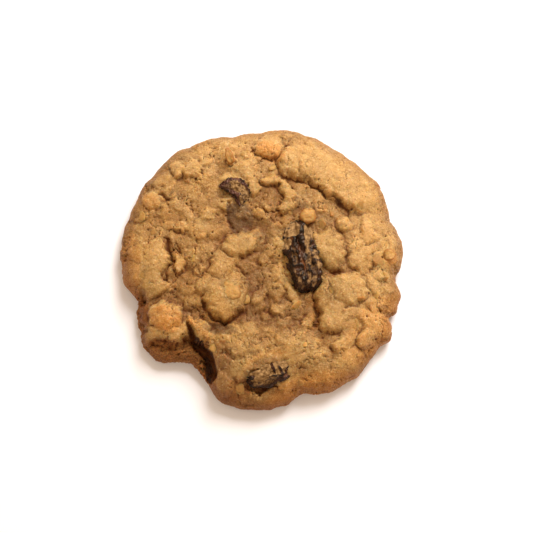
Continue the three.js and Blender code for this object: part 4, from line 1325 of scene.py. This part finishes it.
class OatSettings(PropertyGroup):
    """Number, size and colours of the oat flakes"""
    seed: IntProperty(name="Seed", description="Seed of the scattered flakes", default=3, min=0)
    density: FloatProperty(name="Density", description="Flakes to a square metre", default=7000.0, min=0)
    size: FloatProperty(
        name="Flake Size", description="Length of a scattered flake",
        default=0.0030, subtype="DISTANCE", unit="LENGTH")
    edge: FloatVectorProperty(
        name="Edge", description="Colour of a flake's toasted edge",
        default=srgb(168, 108, 48), size=4, min=0, max=1, subtype="COLOR")
    body: FloatVectorProperty(
        name="Body", description="Colour of darker flakes",
        default=srgb(182, 136, 74), size=4, min=0, max=1, subtype="COLOR")
    middle: FloatVectorProperty(
        name="Middle", description="Colour of pale flakes and of a whole flake's middle",
        default=srgb(212, 162, 90), size=4, min=0, max=1, subtype="COLOR")


class StageSettings(PropertyGroup):
    """Table, light and view"""
    elevation: FloatProperty(
        name="Elevation", description="Camera height over the table",
        default=math.radians(77), subtype="ANGLE")
    lens: FloatProperty(name="Lens", description="Focal length in millimetres", default=90, unit="CAMERA")
    field: FloatProperty(
        name="Field", description="Width seen at the cookie",
        default=0.1405, subtype="DISTANCE", unit="LENGTH")
    aim: FloatVectorProperty(
        name="Aim", description="Point in the middle of the view",
        default=(0.0013, -0.0006, 0.006), size=3, subtype="TRANSLATION", unit="LENGTH")
    key: FloatProperty(name="Key", description="Power of the key light", default=4.1, unit="POWER")
    key_place: FloatVectorProperty(
        name="Key Place", description="Where the key light stands",
        default=(0.18, 0.33, 0.375), size=3, subtype="TRANSLATION", unit="LENGTH")
    key_size: FloatProperty(
        name="Key Size", description="Width of the key light",
        default=0.27, subtype="DISTANCE", unit="LENGTH")
    key_colour: FloatVectorProperty(
        name="Key Colour", description="Colour of the key light",
        default=(0.95, 0.985, 1.0), size=3, min=0, max=1, subtype="COLOR")
    fill: FloatProperty(name="Fill", description="Brightness of the surroundings", default=0.81)
    fill_colour: FloatVectorProperty(
        name="Fill Colour", description="Colour of the surroundings",
        default=(1.0, 0.81, 0.6, 1), size=4, min=0, max=1, subtype="COLOR")
    glow: FloatProperty(name="Glow", description="Light that the white table gives off", default=0.04)
    table: FloatVectorProperty(
        name="Table", description="Colour of the table",
        default=(0.82, 0.79, 0.82, 1), size=4, min=0, max=1, subtype="COLOR")
    table_half: FloatProperty(
        name="Table Half", description="Half the width of the table",
        default=0.6, subtype="DISTANCE", unit="LENGTH")


# Operators
class COOKIE_OT_dough(Operator):
    """Build the baked dough over its solid"""
    bl_idname = "cookie.dough"
    bl_label = "Build Dough"

    def execute(self, context):
        settings = context.scene.cookie_dough
        piece = build_dough(settings)
        piece.data.materials.append(dough_material(settings))
        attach(piece, "root")
        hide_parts("cookie_dough")
        return {"FINISHED"}


class COOKIE_OT_raisins(Operator):
    """Build the raisins over their solids"""
    bl_idname = "cookie.raisins"
    bl_label = "Build Raisins"

    def execute(self, context):
        settings = context.scene.cookie_raisins
        material = raisin_material(settings)
        for raisin in RAISINS:
            piece = build_raisin(*raisin, settings)
            piece.data.materials.append(material)
            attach(piece, "root")
            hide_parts(raisin[0])
        return {"FINISHED"}


class COOKIE_OT_oats(Operator):
    """Lay the oat flakes that show and scatter the small ones over the dough"""
    bl_idname = "cookie.oats"
    bl_label = "Scatter Oats"

    def execute(self, context):
        settings = context.scene.cookie_oats
        dough = bpy.data.objects["dough"]
        material = flake_material(settings)
        shown = build_shown_flakes(dough)
        shown.data.materials.append(material)
        for piece in (shown, scatter_flakes(dough, settings, material)):
            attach(piece, "root")
            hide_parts("cookie_dough")
        return {"FINISHED"}


class COOKIE_OT_stage(Operator):
    """Set the table, the lights and the camera"""
    bl_idname = "cookie.stage"
    bl_label = "Set Stage"

    def execute(self, context):
        scene = context.scene
        settings = scene.cookie_stage
        lay_table(settings)
        light_scene(scene, settings)
        place_camera(scene, settings)
        scene.view_settings.view_transform = "Standard"
        return {"FINISHED"}


class COOKIE_PT_panel(Panel):
    """Cookie settings in the sidebar"""
    bl_label = "Cookie"
    bl_idname = "COOKIE_PT_panel"
    bl_space_type = "VIEW_3D"
    bl_region_type = "UI"
    bl_category = "Cookie"

    def draw(self, context):
        for group, operator in (
            (context.scene.cookie_dough, COOKIE_OT_dough),
            (context.scene.cookie_raisins, COOKIE_OT_raisins),
            (context.scene.cookie_oats, COOKIE_OT_oats),
            (context.scene.cookie_stage, COOKIE_OT_stage),
        ):
            box = self.layout.box()
            for key in group.bl_rna.properties.keys():
                if key not in ("rna_type", "name"):
                    box.prop(group, key)
            box.operator(operator.bl_idname)


CLASSES = (
    DoughSettings, RaisinSettings, OatSettings, StageSettings,
    COOKIE_OT_dough, COOKIE_OT_raisins, COOKIE_OT_oats, COOKIE_OT_stage, COOKIE_PT_panel,
)


def register():
    """Add the classes, and the settings to the scene."""
    for cls in CLASSES:
        bpy.utils.register_class(cls)
    bpy.types.Scene.cookie_dough = PointerProperty(type=DoughSettings)
    bpy.types.Scene.cookie_raisins = PointerProperty(type=RaisinSettings)
    bpy.types.Scene.cookie_oats = PointerProperty(type=OatSettings)
    bpy.types.Scene.cookie_stage = PointerProperty(type=StageSettings)


def unregister():
    """Take the settings off the scene, and the classes away."""
    del bpy.types.Scene.cookie_stage
    del bpy.types.Scene.cookie_oats
    del bpy.types.Scene.cookie_raisins
    del bpy.types.Scene.cookie_dough
    for cls in reversed(CLASSES):
        bpy.utils.unregister_class(cls)


def main():
    """Build the whole scene."""
    register()
    bpy.ops.cookie.stage()
    bpy.ops.cookie.dough()
    bpy.ops.cookie.raisins()
    bpy.ops.cookie.oats()


if __name__ == "__main__":
    main()
